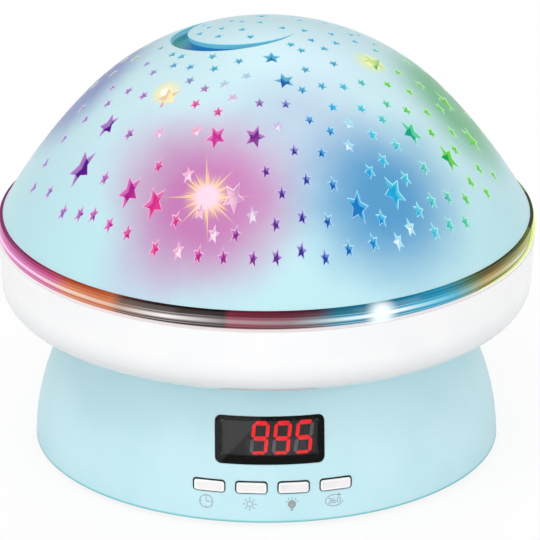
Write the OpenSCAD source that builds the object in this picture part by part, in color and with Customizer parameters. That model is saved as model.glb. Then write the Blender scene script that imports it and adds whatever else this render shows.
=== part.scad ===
// Star night light projector: a round base with a timer display and four keys, a white collar
// with a light ring, and a motor-driven, lift-off dome pierced with stars and a crescent moon.
// Millimetres. The origin is on the table, under the middle of the base. The keys face -Y.

/* [Base] */
// Radius of the ball that the base wall is cut from, centred on the table
base_r = 56.4; // [55:0.1:60]
// Height of the base housing, from its bottom edge to its flat top
base_h = 35.8; // [34.5:0.1:38]
// Wall of the base housing and of the collar
wall = 2; // [1.8:0.1:2.4]
// Gap that the feet leave between the table and the base
foot_stand = 1.2; // [0.8:0.1:2]
// Radius of a rubber foot
foot_r = 5; // [4:0.1:6]
// Depth of a foot's seat in the base plate
foot_seat = 1; // [0.6:0.1:1.4]
// Distance from a foot to the base plate's edge
foot_inset = 3; // [2:0.1:5]
// Thickness of the base plate
plate_t = 3; // [2.8:0.1:3.6]
// Gap between the base plate's edge and the housing
plate_gap = 0.2; // [0.1:0.05:0.4]

/* [Screws] */
// Radius of the housing screws' shank
screw_r = 1.45; // [1.2:0.05:1.6]
// Radius of the housing screws' head
screw_head_r = 2.75; // [2.4:0.05:2.9]
// Height of a housing screw's head
screw_head_h = 1.3; // [1:0.1:1.5]
// Wall of a screw boss round its hole
boss_wall = 1.8; // [1.4:0.1:2.4]
// Height of a screw boss
boss_depth = 8; // [6:0.5:9]
// Solid end of a boss, past its hole
boss_cap = 1; // [0.8:0.1:1.5]
// Gap between a screw's end and the end of its hole
screw_end = 0.5; // [0.3:0.1:1]
// Depth to which the base plate's screws are sunk
screw_sink = 0.4; // [0.2:0.1:0.6]
// Distance of the base plate's screws from the inside of the housing's wall
plate_screw_inset = 4.8; // [4.6:0.1:5.4]
// Direction of the plate screws from the X axis, in degrees
plate_screw_angle = 20; // [15:1:25]
// Distance of the collar's screws from the inside of the wall, under the deck
collar_screw_inset = 5.6; // [5:0.1:6.5]
// Clearance of a screw in the hole that it holds in
thread_gap = 0.05; // [0.02:0.01:0.1]
// Clearance of a screw's head or of a part in its seat
seat_gap = 0.15; // [0.1:0.05:0.3]

/* [Battery bay] */
// Radius of a battery cell
cell_r = 5.25; // [5:0.05:5.25]
// Length of a battery cell
cell_l = 44.5; // [43:0.1:46]
// Number of battery cells side by side
cells = 4; // [2:1:4]
// Gap between neighbouring cells, and above and below them
cell_gap = 0.3; // [0.2:0.05:0.5]
// Wall of the battery tray
tray_wall = 1.2; // [1:0.1:1.6]
// Thickness of a contact plate
contact_t = 0.4; // [0.3:0.05:0.6]
// Side of a contact plate
contact_w = 8; // [6:0.5:9]
// Length of a pressed contact spring
spring_l = 2.6; // [2:0.1:3.5]
// Radius of a contact spring at its plate
spring_r = 3.4; // [2.8:0.1:3.8]
// Thickness of a contact spring's wire
spring_wire = 0.8; // [0.6:0.05:1]
// Turns of a contact spring
spring_turns = 4; // [3:1:5]
// How much narrower a contact spring gets with each turn
spring_taper = 0.3; // [0.1:0.05:0.4]
// Thickness of the battery door
door_t = 2.4; // [2:0.1:2.6]
// Length of a cell's nub
nub_l = 1; // [0.8:0.1:1.2]
// Radius of a cell's nub
nub_r = 1.9; // [1.7:0.1:2.7]
// Gap round the battery door
door_gap = 0.3; // [0.2:0.05:0.5]
// Radius of the door's hinge pins
hinge_pin_r = 0.7; // [0.6:0.05:0.75]
// Length of a hinge pin beyond the door's side
hinge_pin_l = 1.5; // [1.2:0.1:2]
// Running clearance of a pin, shaft or hub in its bore
bore_gap = 0.05; // [0.03:0.01:0.08]
// Radius of the finger notch in the door's free edge
notch_r = 6; // [4:0.5:8]

/* [Display] */
// Width of the display window
window_w = 26; // [24:0.5:28]
// Height of the display window
window_h = 10.7; // [10:0.1:11.5]
// Height of the window's centre above the table
window_z = 20.6; // [20:0.1:22]
// Radius of the window's corners
window_corner = 1.5; // [0.8:0.1:2.5]
// Thickness of the window
window_t = 1.2; // [0.8:0.1:1.4]
// Width of the ledge behind the window
window_ledge = 1.3; // [0.8:0.1:1.6]
// Gap round the window
window_gap = 0.1; // [0.05:0.01:0.2]
// Number of digits
digits = 3; // [2:1:3]
// Distance from digit to digit
digit_pitch = 5.2; // [5:0.05:5.4]
// Width of a digit between the middles of its upright bars
digit_w = 3.3; // [2.8:0.1:3.5]
// Gap between the digits and the top and bottom of the opening behind the window
digit_margin = 0.325; // [0.1:0.025:0.4]
// How far the digits sit below the window's middle, as a share of digit_margin
digit_drop = 0.6; // [0:0.1:0.8]
// Width of a bar of a digit
bar_w = 0.85; // [0.7:0.05:1.1]
// Gap between neighbouring bars of a digit
bar_gap = 0.22; // [0.08:0.01:0.24]
// Gap between the last digit and the side of the opening behind the window
digit_side = 1.1; // [0.4:0.1:2.4]
// Lean of the digits, as the sideways shift for each millimetre of height
digit_lean = 0.12; // [0:0.01:0.18]
// How far the bars stand out of the display block
bar_t = 0.3; // [0.2:0.05:0.5]

/* [Keys] */
// Width of a key
key_w = 7.2; // [6:0.1:7.8]
// Height of a key
key_h = 2.6; // [2.2:0.1:3]
// Gap between the lips of neighbouring keys
key_space = 0.7; // [0.4:0.1:1]
// How far the row of keys, with its board, sits to the right of the middle
key_shift = 0.6; // [0:0.1:1]
// Height of the keys' middles above the table
key_z = 9.9; // [9.5:0.1:11]
// Radius of a key's corners
key_corner = 0.6; // [0.3:0.1:1]
// Gap round a key in the housing
key_gap = 0.25; // [0.15:0.05:0.4]
// How far a key stands out of the base wall
key_proud = 0.5; // [0.3:0.1:0.9]
// Travel of a key when pressed
key_travel = 0.6; // [0.4:0.1:0.8]
// How far a key's lip reaches past its opening, behind the wall
key_lip = 0.8; // [0.5:0.1:1]
// Thickness of a key's lip
key_lip_t = 1; // [0.8:0.1:1.4]
// Radius of the stem between a key and its switch
stem_r = 1.3; // [1:0.1:1.6]
// Least length of the stem between a key and its switch
stem_min = 0.5; // [0.3:0.1:1]
// Side of a switch under a key
switch_w = 6; // [5:0.1:6.2]
// Depth of a switch
switch_t = 3.5; // [3:0.1:4]
// Radius of a switch's plunger
plunger_r = 1.7; // [1.3:0.1:2]
// Length of a switch's plunger
plunger_l = 0.8; // [0.5:0.1:1.2]

/* [Boards] */
// Thickness of the main board
board_t = 1.6; // [1.2:0.1:2]
// How far the main board reaches past the outer switches
board_margin = 0.5; // [0.3:0.1:1]
// Thickness of the small boards
small_board_t = 1.2; // [1:0.1:1.6]
// Width of the rails that hold the main board
rail_w = 3; // [2.4:0.1:3.6]
// How far a rail reaches over the main board's edge
rail_bite = 0.8; // [0.5:0.1:1]
// Wall of a rail before and behind the main board
rail_wall = 1.5; // [1.2:0.1:1.8]
// Height above the table at which the rails begin
rail_z = 16; // [15:0.5:18]

/* [Inlet] */
// Width of the power inlet's metal shell
inlet_w = 7.5; // [7:0.1:8]
// Height of the power inlet's metal shell
inlet_h = 2.6; // [2.4:0.1:3]
// Depth of the power inlet
inlet_l = 5.5; // [5:0.1:7]
// Thickness of the inlet's sheet metal
inlet_t = 0.35; // [0.25:0.05:0.4]
// Height of the inlet's middle above the table
inlet_z = 8.2; // [8:0.1:9]
// How far the inlet's mouth lies inside the housing's wall
inlet_set = 1; // [0.6:0.1:1.4]
// Thickness of the tongue in the inlet
tongue_t = 0.5; // [0.4:0.05:0.7]
// Gap between the tongue and each side of the inlet
tongue_gap = 1.5; // [1.2:0.1:1.8]
// Room for the plug round the inlet, in the housing
inlet_gap = 0.9; // [0.6:0.1:1.5]
// Length of the inlet's board
inlet_board_l = 12; // [10:0.5:14]
// Radius of the posts that carry the inlet's board
inlet_post_r = 1.8; // [1.5:0.1:2.2]
// Radius of the pins on those posts
inlet_pin_r = 0.9; // [0.7:0.05:1.1]
// How far those pins stand out of the board
inlet_pin_proud = 0.6; // [0.3:0.1:0.9]

/* [Collar] */
// Outer radius of the collar at its top edge
collar_r = 65; // [64:0.1:68]
// How much narrower the collar is at the foot of its wall
collar_taper = 0.65; // [0:0.05:1.5]
// Height of the collar
collar_h = 16.8; // [16:0.1:19]
// Radius of the collar's lower corner
collar_corner = 5.2; // [4:0.1:6]
// Thickness of the rib that carries the light ring's board
rib_t = 1.5; // [1.2:0.1:2]
// Distance of that rib from the board's inner edge
rib_inset = 1; // [0.6:0.1:2]

/* [Light ring] */
// Height of the light ring above the collar
ring_h = 4.6; // [4:0.1:5.5]
// Radius of the light ring's bulging face
ring_bulge = 6; // [5:0.1:9]
// How far the ring's face bulges past the collar's edge
ring_proud = 0.15; // [0:0.05:0.3]
// Height of the ring's widest place, as a share of its height
ring_crest = 0.45; // [0.3:0.05:0.6]
// Width of the light ring, measured in from the collar's edge
ring_w = 3.5; // [3.1:0.1:3.7]
// Depth of the light ring's spigot inside the collar
ring_spigot = 1.3; // [1:0.1:1.8]
// Width of the board under the light ring
ring_board_w = 7.5; // [6.5:0.1:8.5]
// Number of small lamps under the light ring
chip_count = 16; // [8:1:24]
// Length of a small lamp along the ring
chip_l = 3.5; // [2.4:0.1:4]
// Width of a small lamp across the ring
chip_w = 2.4; // [1.8:0.1:2.6]
// Height of a small lamp
chip_h = 1.5; // [1:0.1:1.7]
// Gap between a small lamp and the light ring
chip_gap = 0.25; // [0.15:0.05:0.5]
// How far the small lamps' middles lie inside the light ring's inner edge
chip_inset = 0.6; // [0.4:0.1:1]

/* [Dome] */
// Height of the dome above its rim
dome_h = 46.3; // [44:0.1:50]
// How far the dome's rim lies inside the collar's edge
dome_inset = 1.2; // [0.8:0.1:1.6]
// How much less the crown's radius is than the rim's
crown_inset = 3.2; // [2:0.1:5]
// Radius of the dome's flank between the crown and the rim
flank_r = 143; // [110:1:200]
// Wall of the dome
dome_wall = 2; // [1.6:0.1:2.2]
// Gap between the turning dome and the light ring
rim_gap = 0.3; // [0.2:0.05:0.6]
// Thickness of the flange inside the dome's rim
flange_t = 1.5; // [1.2:0.1:2]
// Gap between the dome's skirt and the light ring
skirt_gap = 1.1; // [0.8:0.1:1.6]
// Thickness of the skirt
skirt_t = 1.8; // [1.2:0.1:2]
// Gap between the dome and the coloured inner dome
liner_gap = 0.5; // [0.3:0.05:0.8]
// Wall of the coloured inner dome
liner_wall = 1; // [0.8:0.05:1.1]

/* [Stars] */
// Radius of a small star's points
star_r = 1.2; // [0.9:0.05:1.4]
// Radius of a star's inner corners, as a share of its points' radius
star_waist = 0.45; // [0.38:0.01:0.55]
// Least web of shell that is left round a star
star_web = 0.9; // [0.6:0.05:1.2]
// Radius of the crescent moon's outer edge
moon_r = 15.8; // [14:0.1:16.5]
// Width of the crescent moon at its widest
moon_w = 4.2; // [2.5:0.1:5]
// How far the disc inside the crescent reaches past its outer edge
moon_reach = 0.6; // [0.5:0.1:1.5]

/* [Turntable] */
// Thickness of the turntable's disc
disc_t = 1.6; // [1.4:0.1:2]
// Gap between the turntable's disc and the light ring
disc_gap = 0.5; // [0.3:0.05:0.8]
// How far the underside of the disc lies above the collar's top edge
disc_lift = 0.2; // [0.1:0.05:0.5]
// Wall of the ridge that centres the dome
ridge_t = 1.8; // [1.4:0.1:2.2]
// Height of the ridge that centres the dome
ridge_h = 2.5; // [2:0.1:3]
// Gap between the ridge and the dome's skirt
ridge_gap = 0.3; // [0.3:0.05:0.6]
// Outer radius of the lamp post that the turntable turns on
post_r = 12; // [11.5:0.1:12.5]
// Wall of the lamp post
post_wall = 2.5; // [2.2:0.1:3]
// Radius of the lamp post's flange
post_flange_r = 18; // [17:0.5:18.5]
// Thickness of the lamp post's flange
post_flange_t = 2; // [1.6:0.1:2.4]
// Thickness of the washer under the turntable
washer_t = 0.5; // [0.3:0.05:0.8]
// Gap between the washer's edge and the edge of the lamp post's flange
washer_inset = 1; // [0.5:0.1:1.5]
// Wall of the turntable's hub
hub_wall = 2.2; // [2:0.1:2.6]
// Width of the shoulder over the gear
hub_shoulder = 1.5; // [1:0.1:2]
// How far the hub stands out above the disc
hub_proud = 0.4; // [0.2:0.1:1]

/* [Gears] */
// Gear module
gear_m = 0.8; // [0.8:0.05:0.85]
// Teeth of the turntable's gear
gear_teeth = 60; // [58:1:62]
// Teeth of the motor's pinion
pinion_teeth = 12; // [12:1:14]
// Width of the gears' teeth
gear_w = 5; // [4:0.1:5.5]
// Height of the gear above the turntable's washer
gear_lift = 0.5; // [0.3:0.1:0.8]
// How far the pinion reaches past the gear at either side
pinion_over = 0.5; // [0.3:0.1:0.5]
// Play between the teeth, along the pitch circle
backlash = 0.2; // [0.15:0.01:0.3]

/* [Motor] */
// Radius of the gear motor's can
motor_r = 14; // [13:0.1:14.5]
// Height of the gear motor's can
motor_h = 15; // [14:0.1:16]
// How far the output shaft lies from the can's middle
motor_offset = 8; // [7:0.1:9]
// Radius of the output shaft
shaft_r = 2.5; // [2:0.05:2.8]
// Gap round the shaft where it passes through the collar
shaft_gap = 0.5; // [0.3:0.1:1]
// Depth of the shaft's bearing in the motor, below the deck
bearing_depth = 5; // [4:0.1:6]
// Wall of the motor's boss round the shaft
motor_boss_wall = 2; // [1.5:0.1:2.4]
// How far that boss stands up into the deck
motor_boss_h = 1.5; // [1:0.1:1.8]
// Gap between the motor's can and the heads of its screws
ear_space = 1.3; // [0.8:0.1:2]
// Radius of the ends of the motor's mounting ears
ear_r = 3.5; // [3:0.1:4]
// Thickness of the motor's mounting ears
ear_t = 0.8; // [0.6:0.1:1.2]
// Radius of the motor screws' shank
motor_screw_r = 1.2; // [1:0.05:1.4]
// Radius of the motor screws' head
motor_screw_head_r = 2.2; // [1.9:0.1:2.4]
// Height of a motor screw's head
motor_screw_head_h = 1.1; // [0.9:0.1:1.4]
// Width of the block on the motor's side where its wires end
outlet_w = 14; // [12:0.5:16]
// How far that block stands out of the can
outlet_d = 2.5; // [2:0.1:3]
// How far that block stays below the motor's top
outlet_drop = 2; // [1.5:0.1:3]

/* [Lamps] */
// Radius of the lamp board
lamp_board_r = 16; // [15:0.1:18]
// Radius of a lamp
lamp_r = 2.5; // [2:0.1:3]
// Height of a lamp's straight part
lamp_h = 4.5; // [3:0.1:6]
// Distance of the lamps from the middle
lamp_circle = 8; // [6.5:0.1:9]
// Width of the rim at a lamp's foot
lamp_rim = 0.4; // [0.3:0.1:0.6]
// Height of the rim at a lamp's foot
lamp_rim_h = 1; // [0.8:0.1:1.2]
// Gap between the turntable's hub and the lamp board
lamp_board_gap = 1; // [0.6:0.1:1.5]
// Radius of the lamp board's screws
lamp_screw_r = 0.8; // [0.6:0.05:0.85]
// Height of a lamp board screw's head
lamp_screw_head_h = 0.9; // [0.7:0.1:1.2]
// Depth of a lamp board screw's hole in the post
lamp_screw_depth = 5; // [4:0.1:6]

/* [Hidden] */
$fn = 72;
// Facets of the balls that the base, its keys and its display are cut from
ball_fn = 240;
// How far a cutting solid runs past what it cuts
cut = 1;
// The row has one key for each function
keys = 4;

// Levels, from the table up
plate_z = foot_stand;
plate_top = plate_z + plate_t;
base_top = foot_stand + base_h;
deck_z = base_top - wall;
collar_floor = base_top + wall;
collar_top = base_top + collar_h;
ring_top = collar_top + ring_h;
rim_z = ring_top + rim_gap;
dome_top = rim_z + dome_h;
flange_top = rim_z + flange_t;

// Colours
pale_blue = "#BDE3EA";
cloud_white = "#F6F6F6";
smoke_black = "#16161A";
board_green = "#2E6B45";
steel = "#B9BDC2";

// Radius at height z of a ball of radius r that is centred on the table
function ball_r(r, z) = sqrt(r * r - z * z);
// Outline of a rectangle with round corners, centred on the origin
function round_rect(w, h, r, n = 6) = [
  for (q = [0:3])
    for (i = [0:n])
      let (a = 90 * q + 90 * i / n)
        [
          (q == 0 || q == 3 ? w / 2 - r : r - w / 2) + r * cos(a),
          (q < 2 ? h / 2 - r : r - h / 2) + r * sin(a)
        ]
];
// Outline of a five-pointed star whose first point is turned by a from +X
function star_points(r, a) = [
  for (i = [0:9])
    let (q = i % 2 == 0 ? r : r * star_waist)
      [q * cos(a + 36 * i), q * sin(a + 36 * i)]
];
// A repeatable number from 0 to 1 for each whole number k
function scatter(k) = let (v = 4375.85 * sin(127.1 * k)) v - floor(v);

// A slab of a ball that is centred on the table
module ball_slab(r, z0, z1) {
  intersection() {
    sphere(r, $fn = ball_fn);
    translate([-r - cut, -r - cut, z0]) cube([2 * (r + cut), 2 * (r + cut), z1 - z0]);
  }
}

// A prism along Y with the given XZ outline, from y0 to y1
module y_prism(points, x, z, y0, y1) {
  translate([x, y1, z]) rotate([90, 0, 0]) linear_extrude(y1 - y0) polygon(points);
}

module y_cylinder(r, x, z, y0, y1) {
  translate([x, y1, z]) rotate([90, 0, 0]) cylinder(r = r, h = y1 - y0);
}

module tube(r_out, r_in, z0, z1) {
  translate([0, 0, z0]) difference() {
    cylinder(r = r_out, h = z1 - z0);
    translate([0, 0, -cut]) cylinder(r = r_in, h = z1 - z0 + 2 * cut);
  }
}

module disc(r, z0, z1) {
  translate([0, 0, z0]) cylinder(r = r, h = z1 - z0);
}

module block(x0, x1, y0, y1, z0, z1) {
  translate([x0, y0, z0]) cube([x1 - x0, y1 - y0, z1 - z0]);
}

// A screw that stands head down, its head from z0 up
module screw(r, head_r, head_h, z0, z1) {
  disc(head_r, z0, z0 + head_h);
  disc(r, z0 + head_h - cut / 2, z1);
}

// ---------------------------------------------------------------- base

inner_r = base_r - wall;
plate_r = ball_r(inner_r, plate_top) - plate_gap;
boss_r = screw_r + thread_gap + boss_wall;
plate_screw_circle = inner_r - plate_screw_inset;
plate_screw_head = plate_z + screw_sink;
plate_boss_top = plate_top + boss_depth;
foot_circle = plate_r - foot_inset - foot_r;
collar_screw_circle = ball_r(inner_r, deck_z) - collar_screw_inset;
rib_half = 1;
plate_screw_dirs = [for (s = [-1, 1]) for (a = [0, 180]) a + s * plate_screw_angle];
collar_screw_dirs = [30, 150, 270];
foot_dirs = [45:90:315];

module at(dir, distance) {
  rotate([0, 0, dir]) translate([distance, 0, 0]) children();
}

// Keys, from left to right; each is centred on key_x(i) and its lip lies behind the wall
key_hole_w = key_w + 2 * key_gap;
key_hole_h = key_h + 2 * key_gap;
lip_w = key_hole_w + 2 * key_lip;
lip_h = key_hole_h + 2 * key_lip;
key_pitch = lip_w + key_space;
function key_x(i) = (i - (keys - 1) / 2) * key_pitch + key_shift;
function lip_y(i) =
  -sqrt(pow(inner_r, 2) - pow(abs(key_x(i)) + lip_w / 2, 2) - pow(key_z + lip_h / 2, 2)) + bore_gap;

// The main board stands behind the outer keys' lips, stems and switches
press_gap = key_travel + bore_gap;
board_y = lip_y(keys - 1) + key_lip_t + stem_min + press_gap + plunger_l + switch_t;
stem_y = board_y - switch_t - plunger_l - press_gap;
board_w = (keys - 1) * key_pitch + switch_w + 2 * board_margin;
digit_h = window_h - 2 * (window_ledge + digit_margin) - bar_w;
digit_z = window_z - digit_drop * digit_margin;
board_z0 = plate_top + seat_gap;
board_z1 = window_z + digit_h / 2;

// The power inlet sits just inside the back wall
inlet_y1 = ball_r(inner_r, inlet_z + inlet_h / 2 + inlet_gap) - inlet_set;
inlet_y0 = inlet_y1 - inlet_l;
inlet_board_z = inlet_z - inlet_h / 2 - small_board_t;
inlet_board_y = inlet_y1 - inlet_set - inlet_board_l;
inlet_post_x = inlet_w / 2 + inlet_post_r;
inlet_post_y = inlet_board_y + inlet_post_r;
inlet_board_w = 2 * (inlet_post_x + inlet_post_r);

module rail(side) {
  x0 = key_shift + side * (board_w / 2 - rail_bite + rail_w / 2) - rail_w / 2;
  difference() {
    block(
      x0, x0 + rail_w, board_y - rail_wall, board_y + board_t + rail_wall,
      rail_z, deck_z + wall / 2
    );
    block(
      key_shift - board_w / 2 - seat_gap, key_shift + board_w / 2 + seat_gap,
      board_y - bore_gap, board_y + board_t + bore_gap,
      rail_z - cut, board_z1 + seat_gap
    );
  }
}

module plate_boss(dir) {
  at(dir, plate_screw_circle) difference() {
    union() {
      disc(boss_r, plate_top, plate_boss_top);
      block(0, base_r - plate_screw_circle, -rib_half, rib_half, plate_top, plate_boss_top);
    }
    disc(screw_r + thread_gap, plate_top - cut, plate_boss_top - boss_cap);
  }
}

// Motor and lamp post, which the deck carries
gear_r = gear_m * gear_teeth / 2;
pinion_r = gear_m * pinion_teeth / 2;
shaft_y = gear_r + pinion_r;
can_y = shaft_y - motor_offset;
motor_boss_r = shaft_r + bore_gap + motor_boss_wall;
ear_pitch = 2 * (motor_r + motor_screw_head_r + ear_space);
spigot_r = post_r - seat_gap;

module base_housing() {
  color(pale_blue) difference() {
    union() {
      difference() {
        ball_slab(base_r, plate_z, base_top);
        ball_slab(inner_r, plate_z - cut, deck_z);
      }
      intersection() {
        sphere(base_r - wall / 2, $fn = ball_fn);
        union() {
          for (d = plate_screw_dirs) plate_boss(d);
          for (s = [-1, 1]) rail(s);
        }
      }
    }
    // window: a shallow seat with an opening behind it
    difference() {
      y_prism(round_rect(window_w, window_h, window_corner), 0, window_z, -base_r - cut, 0);
      sphere(base_r - window_t, $fn = ball_fn);
    }
    y_prism(
      round_rect(window_w - 2 * window_ledge, window_h - 2 * window_ledge, window_corner),
      0, window_z, -base_r - cut, board_y
    );
    for (i = [0:keys - 1])
      y_prism(
        round_rect(key_hole_w, key_hole_h, key_corner + key_gap), key_x(i), key_z,
        -base_r - cut, board_y
      );
    y_prism(
      round_rect(inlet_w + 2 * inlet_gap, inlet_h + 2 * inlet_gap, inlet_gap),
      0, inlet_z, inlet_y1 - cut, base_r + cut
    );
    // deck holes for the lamp post, the motor and the collar's screws
    disc(post_r, deck_z - cut, base_top + cut);
    translate([0, shaft_y, 0]) disc(motor_boss_r + seat_gap, deck_z - cut, base_top + cut);
    for (s = [-1, 1])
      translate([s * ear_pitch / 2, can_y, 0]) disc(motor_screw_r + thread_gap, deck_z - cut, base_top + cut);
    for (d = collar_screw_dirs) at(d, collar_screw_circle)
      disc(screw_r + seat_gap, deck_z - cut, base_top + cut);
  }
}

// ---------------------------------------------------------------- base plate and battery bay

cell_pitch = 2 * cell_r + cell_gap;
bay_x = cell_l + 2 * contact_t + spring_l;
bay_y = cells * cell_pitch + cell_gap;
door_top = plate_z + door_t;
cell_z = door_top + cell_gap + cell_r;
tray_roof = cell_z + cell_r + cell_gap;
hinge_z = plate_z + door_t / 2;
hinge_x = -bay_x / 2 + door_t / 2 + door_gap;
hinge_edge = bay_y / 2 - door_gap;
function cell_y(i) = (i - (cells - 1) / 2) * cell_pitch;
function cell_way(i) = i % 2 == 0 ? 1 : -1;

module base_plate() {
  color(pale_blue) difference() {
    union() {
      disc(plate_r, plate_z, plate_top);
      for (s = [-1, 1]) translate([s * inlet_post_x, inlet_post_y, 0]) {
        disc(inlet_post_r, plate_top - cut, inlet_board_z);
        disc(inlet_pin_r, inlet_board_z - cut, inlet_board_z + small_board_t + inlet_pin_proud);
      }
    }
    for (d = foot_dirs) at(d, foot_circle) disc(foot_r + bore_gap, plate_z - cut, plate_z + foot_seat);
    for (d = plate_screw_dirs) at(d, plate_screw_circle) {
      disc(screw_r + seat_gap, plate_z - cut, plate_top + cut);
      disc(screw_head_r + seat_gap, plate_z - cut, plate_screw_head + screw_head_h);
    }
    block(-bay_x / 2, bay_x / 2, -bay_y / 2, bay_y / 2, plate_z - cut, plate_top + cut);
    y_cylinder(
      hinge_pin_r + bore_gap, hinge_x, hinge_z,
      -hinge_edge - hinge_pin_l - seat_gap, hinge_edge + hinge_pin_l + seat_gap
    );
  }
}

module rubber_feet() {
  color("#4A4D52") for (d = foot_dirs) at(d, foot_circle) disc(foot_r, 0, plate_z + foot_seat);
}

module plate_screws() {
  color(steel) for (d = plate_screw_dirs) at(d, plate_screw_circle)
    screw(screw_r, screw_head_r, screw_head_h, plate_screw_head, plate_boss_top - boss_cap - screw_end);
}

module battery_tray() {
  color("#3A3C40") difference() {
    block(
      -bay_x / 2 - tray_wall, bay_x / 2 + tray_wall, -bay_y / 2 - tray_wall, bay_y / 2 + tray_wall,
      plate_top, tray_roof + tray_wall
    );
    block(-bay_x / 2, bay_x / 2, -bay_y / 2, bay_y / 2, plate_top - cut, tray_roof);
  }
}

// A cell along +X from its flat end, with its nub
module cell() {
  rotate([0, 90, 0]) {
    cylinder(r = cell_r, h = cell_l - nub_l);
    translate([0, 0, cell_l - nub_l - cut / 2]) cylinder(r = nub_r, h = nub_l + cut / 2);
  }
}

// Turns what is drawn for one cell's place to its row and its way round
module cell_place(i) {
  translate([0, cell_y(i), cell_z]) rotate([0, 0, cell_way(i) > 0 ? 0 : 180]) children();
}

module battery_cells() {
  color("#8C9AA6") for (i = [0:cells - 1])
    cell_place(i) translate([-bay_x / 2 + contact_t + spring_l, 0, 0]) cell();
}

module contact_plates() {
  color(steel) for (i = [0:cells - 1]) for (s = [0, 180])
    cell_place(i) rotate([0, 0, s])
      translate([-bay_x / 2, -contact_w / 2, -contact_w / 2]) cube([contact_t, contact_w, contact_w]);
}

// A cone spring drawn as the ribbed sleeve that its turns fill
module contact_springs() {
  half_turn = spring_l / spring_turns / 2;
  groove = spring_wire / 4;
  function rib_r(k) = spring_r - spring_taper * k / 2 - (k % 2 == 0 ? groove : 0);
  outer = [for (k = [0:2 * spring_turns]) [rib_r(k), k * half_turn]];
  inner = [for (k = [2 * spring_turns:-1:0]) [rib_r(k) - spring_wire, k * half_turn]];
  color(steel) for (i = [0:cells - 1])
    cell_place(i) translate([-bay_x / 2 + contact_t, 0, 0]) rotate([0, 90, 0])
      rotate_extrude() polygon(concat(outer, inner));
}

module battery_door() {
  color(pale_blue) difference() {
    union() {
      block(hinge_x, bay_x / 2 - door_gap, -hinge_edge, hinge_edge, plate_z, door_top);
      y_cylinder(door_t / 2, hinge_x, hinge_z, -hinge_edge, hinge_edge);
      y_cylinder(hinge_pin_r, hinge_x, hinge_z, -hinge_edge - hinge_pin_l, hinge_edge + hinge_pin_l);
    }
    translate([bay_x / 2, 0, 0]) disc(notch_r, plate_z - cut, plate_z + door_t / 2);
  }
}

// ---------------------------------------------------------------- display

module display_window() {
  color(smoke_black) intersection() {
    y_prism(
      round_rect(window_w - 2 * window_gap, window_h - 2 * window_gap, window_corner - window_gap),
      0, window_z, -base_r - cut, 0
    );
    difference() {
      sphere(base_r, $fn = ball_fn);
      sphere(base_r - window_t, $fn = ball_fn);
    }
  }
}

block_face_r = inner_r - seat_gap;

module display_block() {
  block_w = window_w - window_ledge;
  block_h = window_h;
  color("#1C1C20") intersection() {
    block(-block_w / 2, block_w / 2, -base_r, board_y, window_z - block_h / 2, window_z + block_h / 2);
    sphere(block_face_r, $fn = ball_fn);
  }
}

// A bar of a digit along its line from p to q: a long hexagon that stops bar_gap short
function bar_points(p, q) =
  let (
    d = (q - p) / norm(q - p), n = [-d[1], d[0]], s = bar_gap / sqrt(2), t = bar_w / 2,
    a = p + d * s, b = q - d * s
  )
  [a, a + d * t + n * t, b - d * t + n * t, b, b - d * t - n * t, a + d * t - n * t];

// The seven bars in the usual order: top, upper right, lower right, bottom, lower left, upper left, middle
function digit_bars() = let (w = digit_w / 2, h = digit_h / 2) [
  [[-w, h], [w, h]], [[w, 0], [w, h]], [[w, -h], [w, 0]], [[-w, -h], [w, -h]],
  [[-w, -h], [-w, 0]], [[-w, 0], [-w, h]], [[-w, 0], [w, 0]]
];
nine = [1, 1, 1, 1, 0, 1, 1];
five = [1, 0, 1, 1, 0, 1, 1];
shown = [nine, nine, five];

// The digits stand together at the right of the opening
digits_w = (digits - 1) * digit_pitch + digit_w + bar_w + digit_lean * (digit_h + bar_w);
digit_shift = window_w / 2 - window_ledge - digit_side - digits_w / 2;

module bars(state) {
  intersection() {
    difference() {
      sphere(block_face_r + bar_t, $fn = ball_fn);
      sphere(block_face_r, $fn = ball_fn);
    }
    for (k = [0:digits - 1]) for (b = [0:6]) if (shown[k][b] == state) {
      ends = digit_bars()[b];
      points = [for (p = bar_points(ends[0], ends[1])) [p[0] + digit_lean * p[1], p[1]]];
      y_prism(points, digit_shift + (k - (digits - 1) / 2) * digit_pitch, digit_z, -base_r, board_y);
    }
  }
}

module lit_bars() {
  color("#F20018") bars(1);
}

module dark_bars() {
  color("#4A4A4D") bars(0);
}

// ---------------------------------------------------------------- keys and boards

module key(i) {
  color(cloud_white) {
    intersection() {
      y_prism(
        round_rect(key_w, key_h, key_corner), key_x(i), key_z,
        -base_r - key_proud - cut, lip_y(i) + cut / 2
      );
      sphere(base_r + key_proud, $fn = ball_fn);
    }
    y_prism(round_rect(lip_w, lip_h, key_corner), key_x(i), key_z, lip_y(i), lip_y(i) + key_lip_t);
    y_cylinder(stem_r, key_x(i), key_z, lip_y(i) + key_lip_t / 2, stem_y);
  }
}

module key_timer() {
  key(0);
}

module key_brightness() {
  key(1);
}

module key_lamps() {
  key(2);
}

module key_rotation() {
  key(3);
}

module key_switches() {
  color("#2A2A2E") for (i = [0:keys - 1]) {
    block(
      key_x(i) - switch_w / 2, key_x(i) + switch_w / 2, board_y - switch_t, board_y,
      key_z - switch_w / 2, key_z + switch_w / 2
    );
    y_cylinder(plunger_r, key_x(i), key_z, board_y - switch_t - plunger_l, board_y - switch_t + cut / 2);
  }
}

module main_board() {
  color(board_green)
    block(key_shift - board_w / 2, key_shift + board_w / 2, board_y, board_y + board_t, board_z0, board_z1);
}

module inlet_board() {
  color(board_green) difference() {
    block(
      -inlet_board_w / 2, inlet_board_w / 2, inlet_board_y, inlet_board_y + inlet_board_l,
      inlet_board_z, inlet_board_z + small_board_t
    );
    for (s = [-1, 1]) translate([s * inlet_post_x, inlet_post_y, 0])
      disc(inlet_pin_r + thread_gap, inlet_board_z - cut, inlet_board_z + small_board_t + cut);
  }
}

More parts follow.
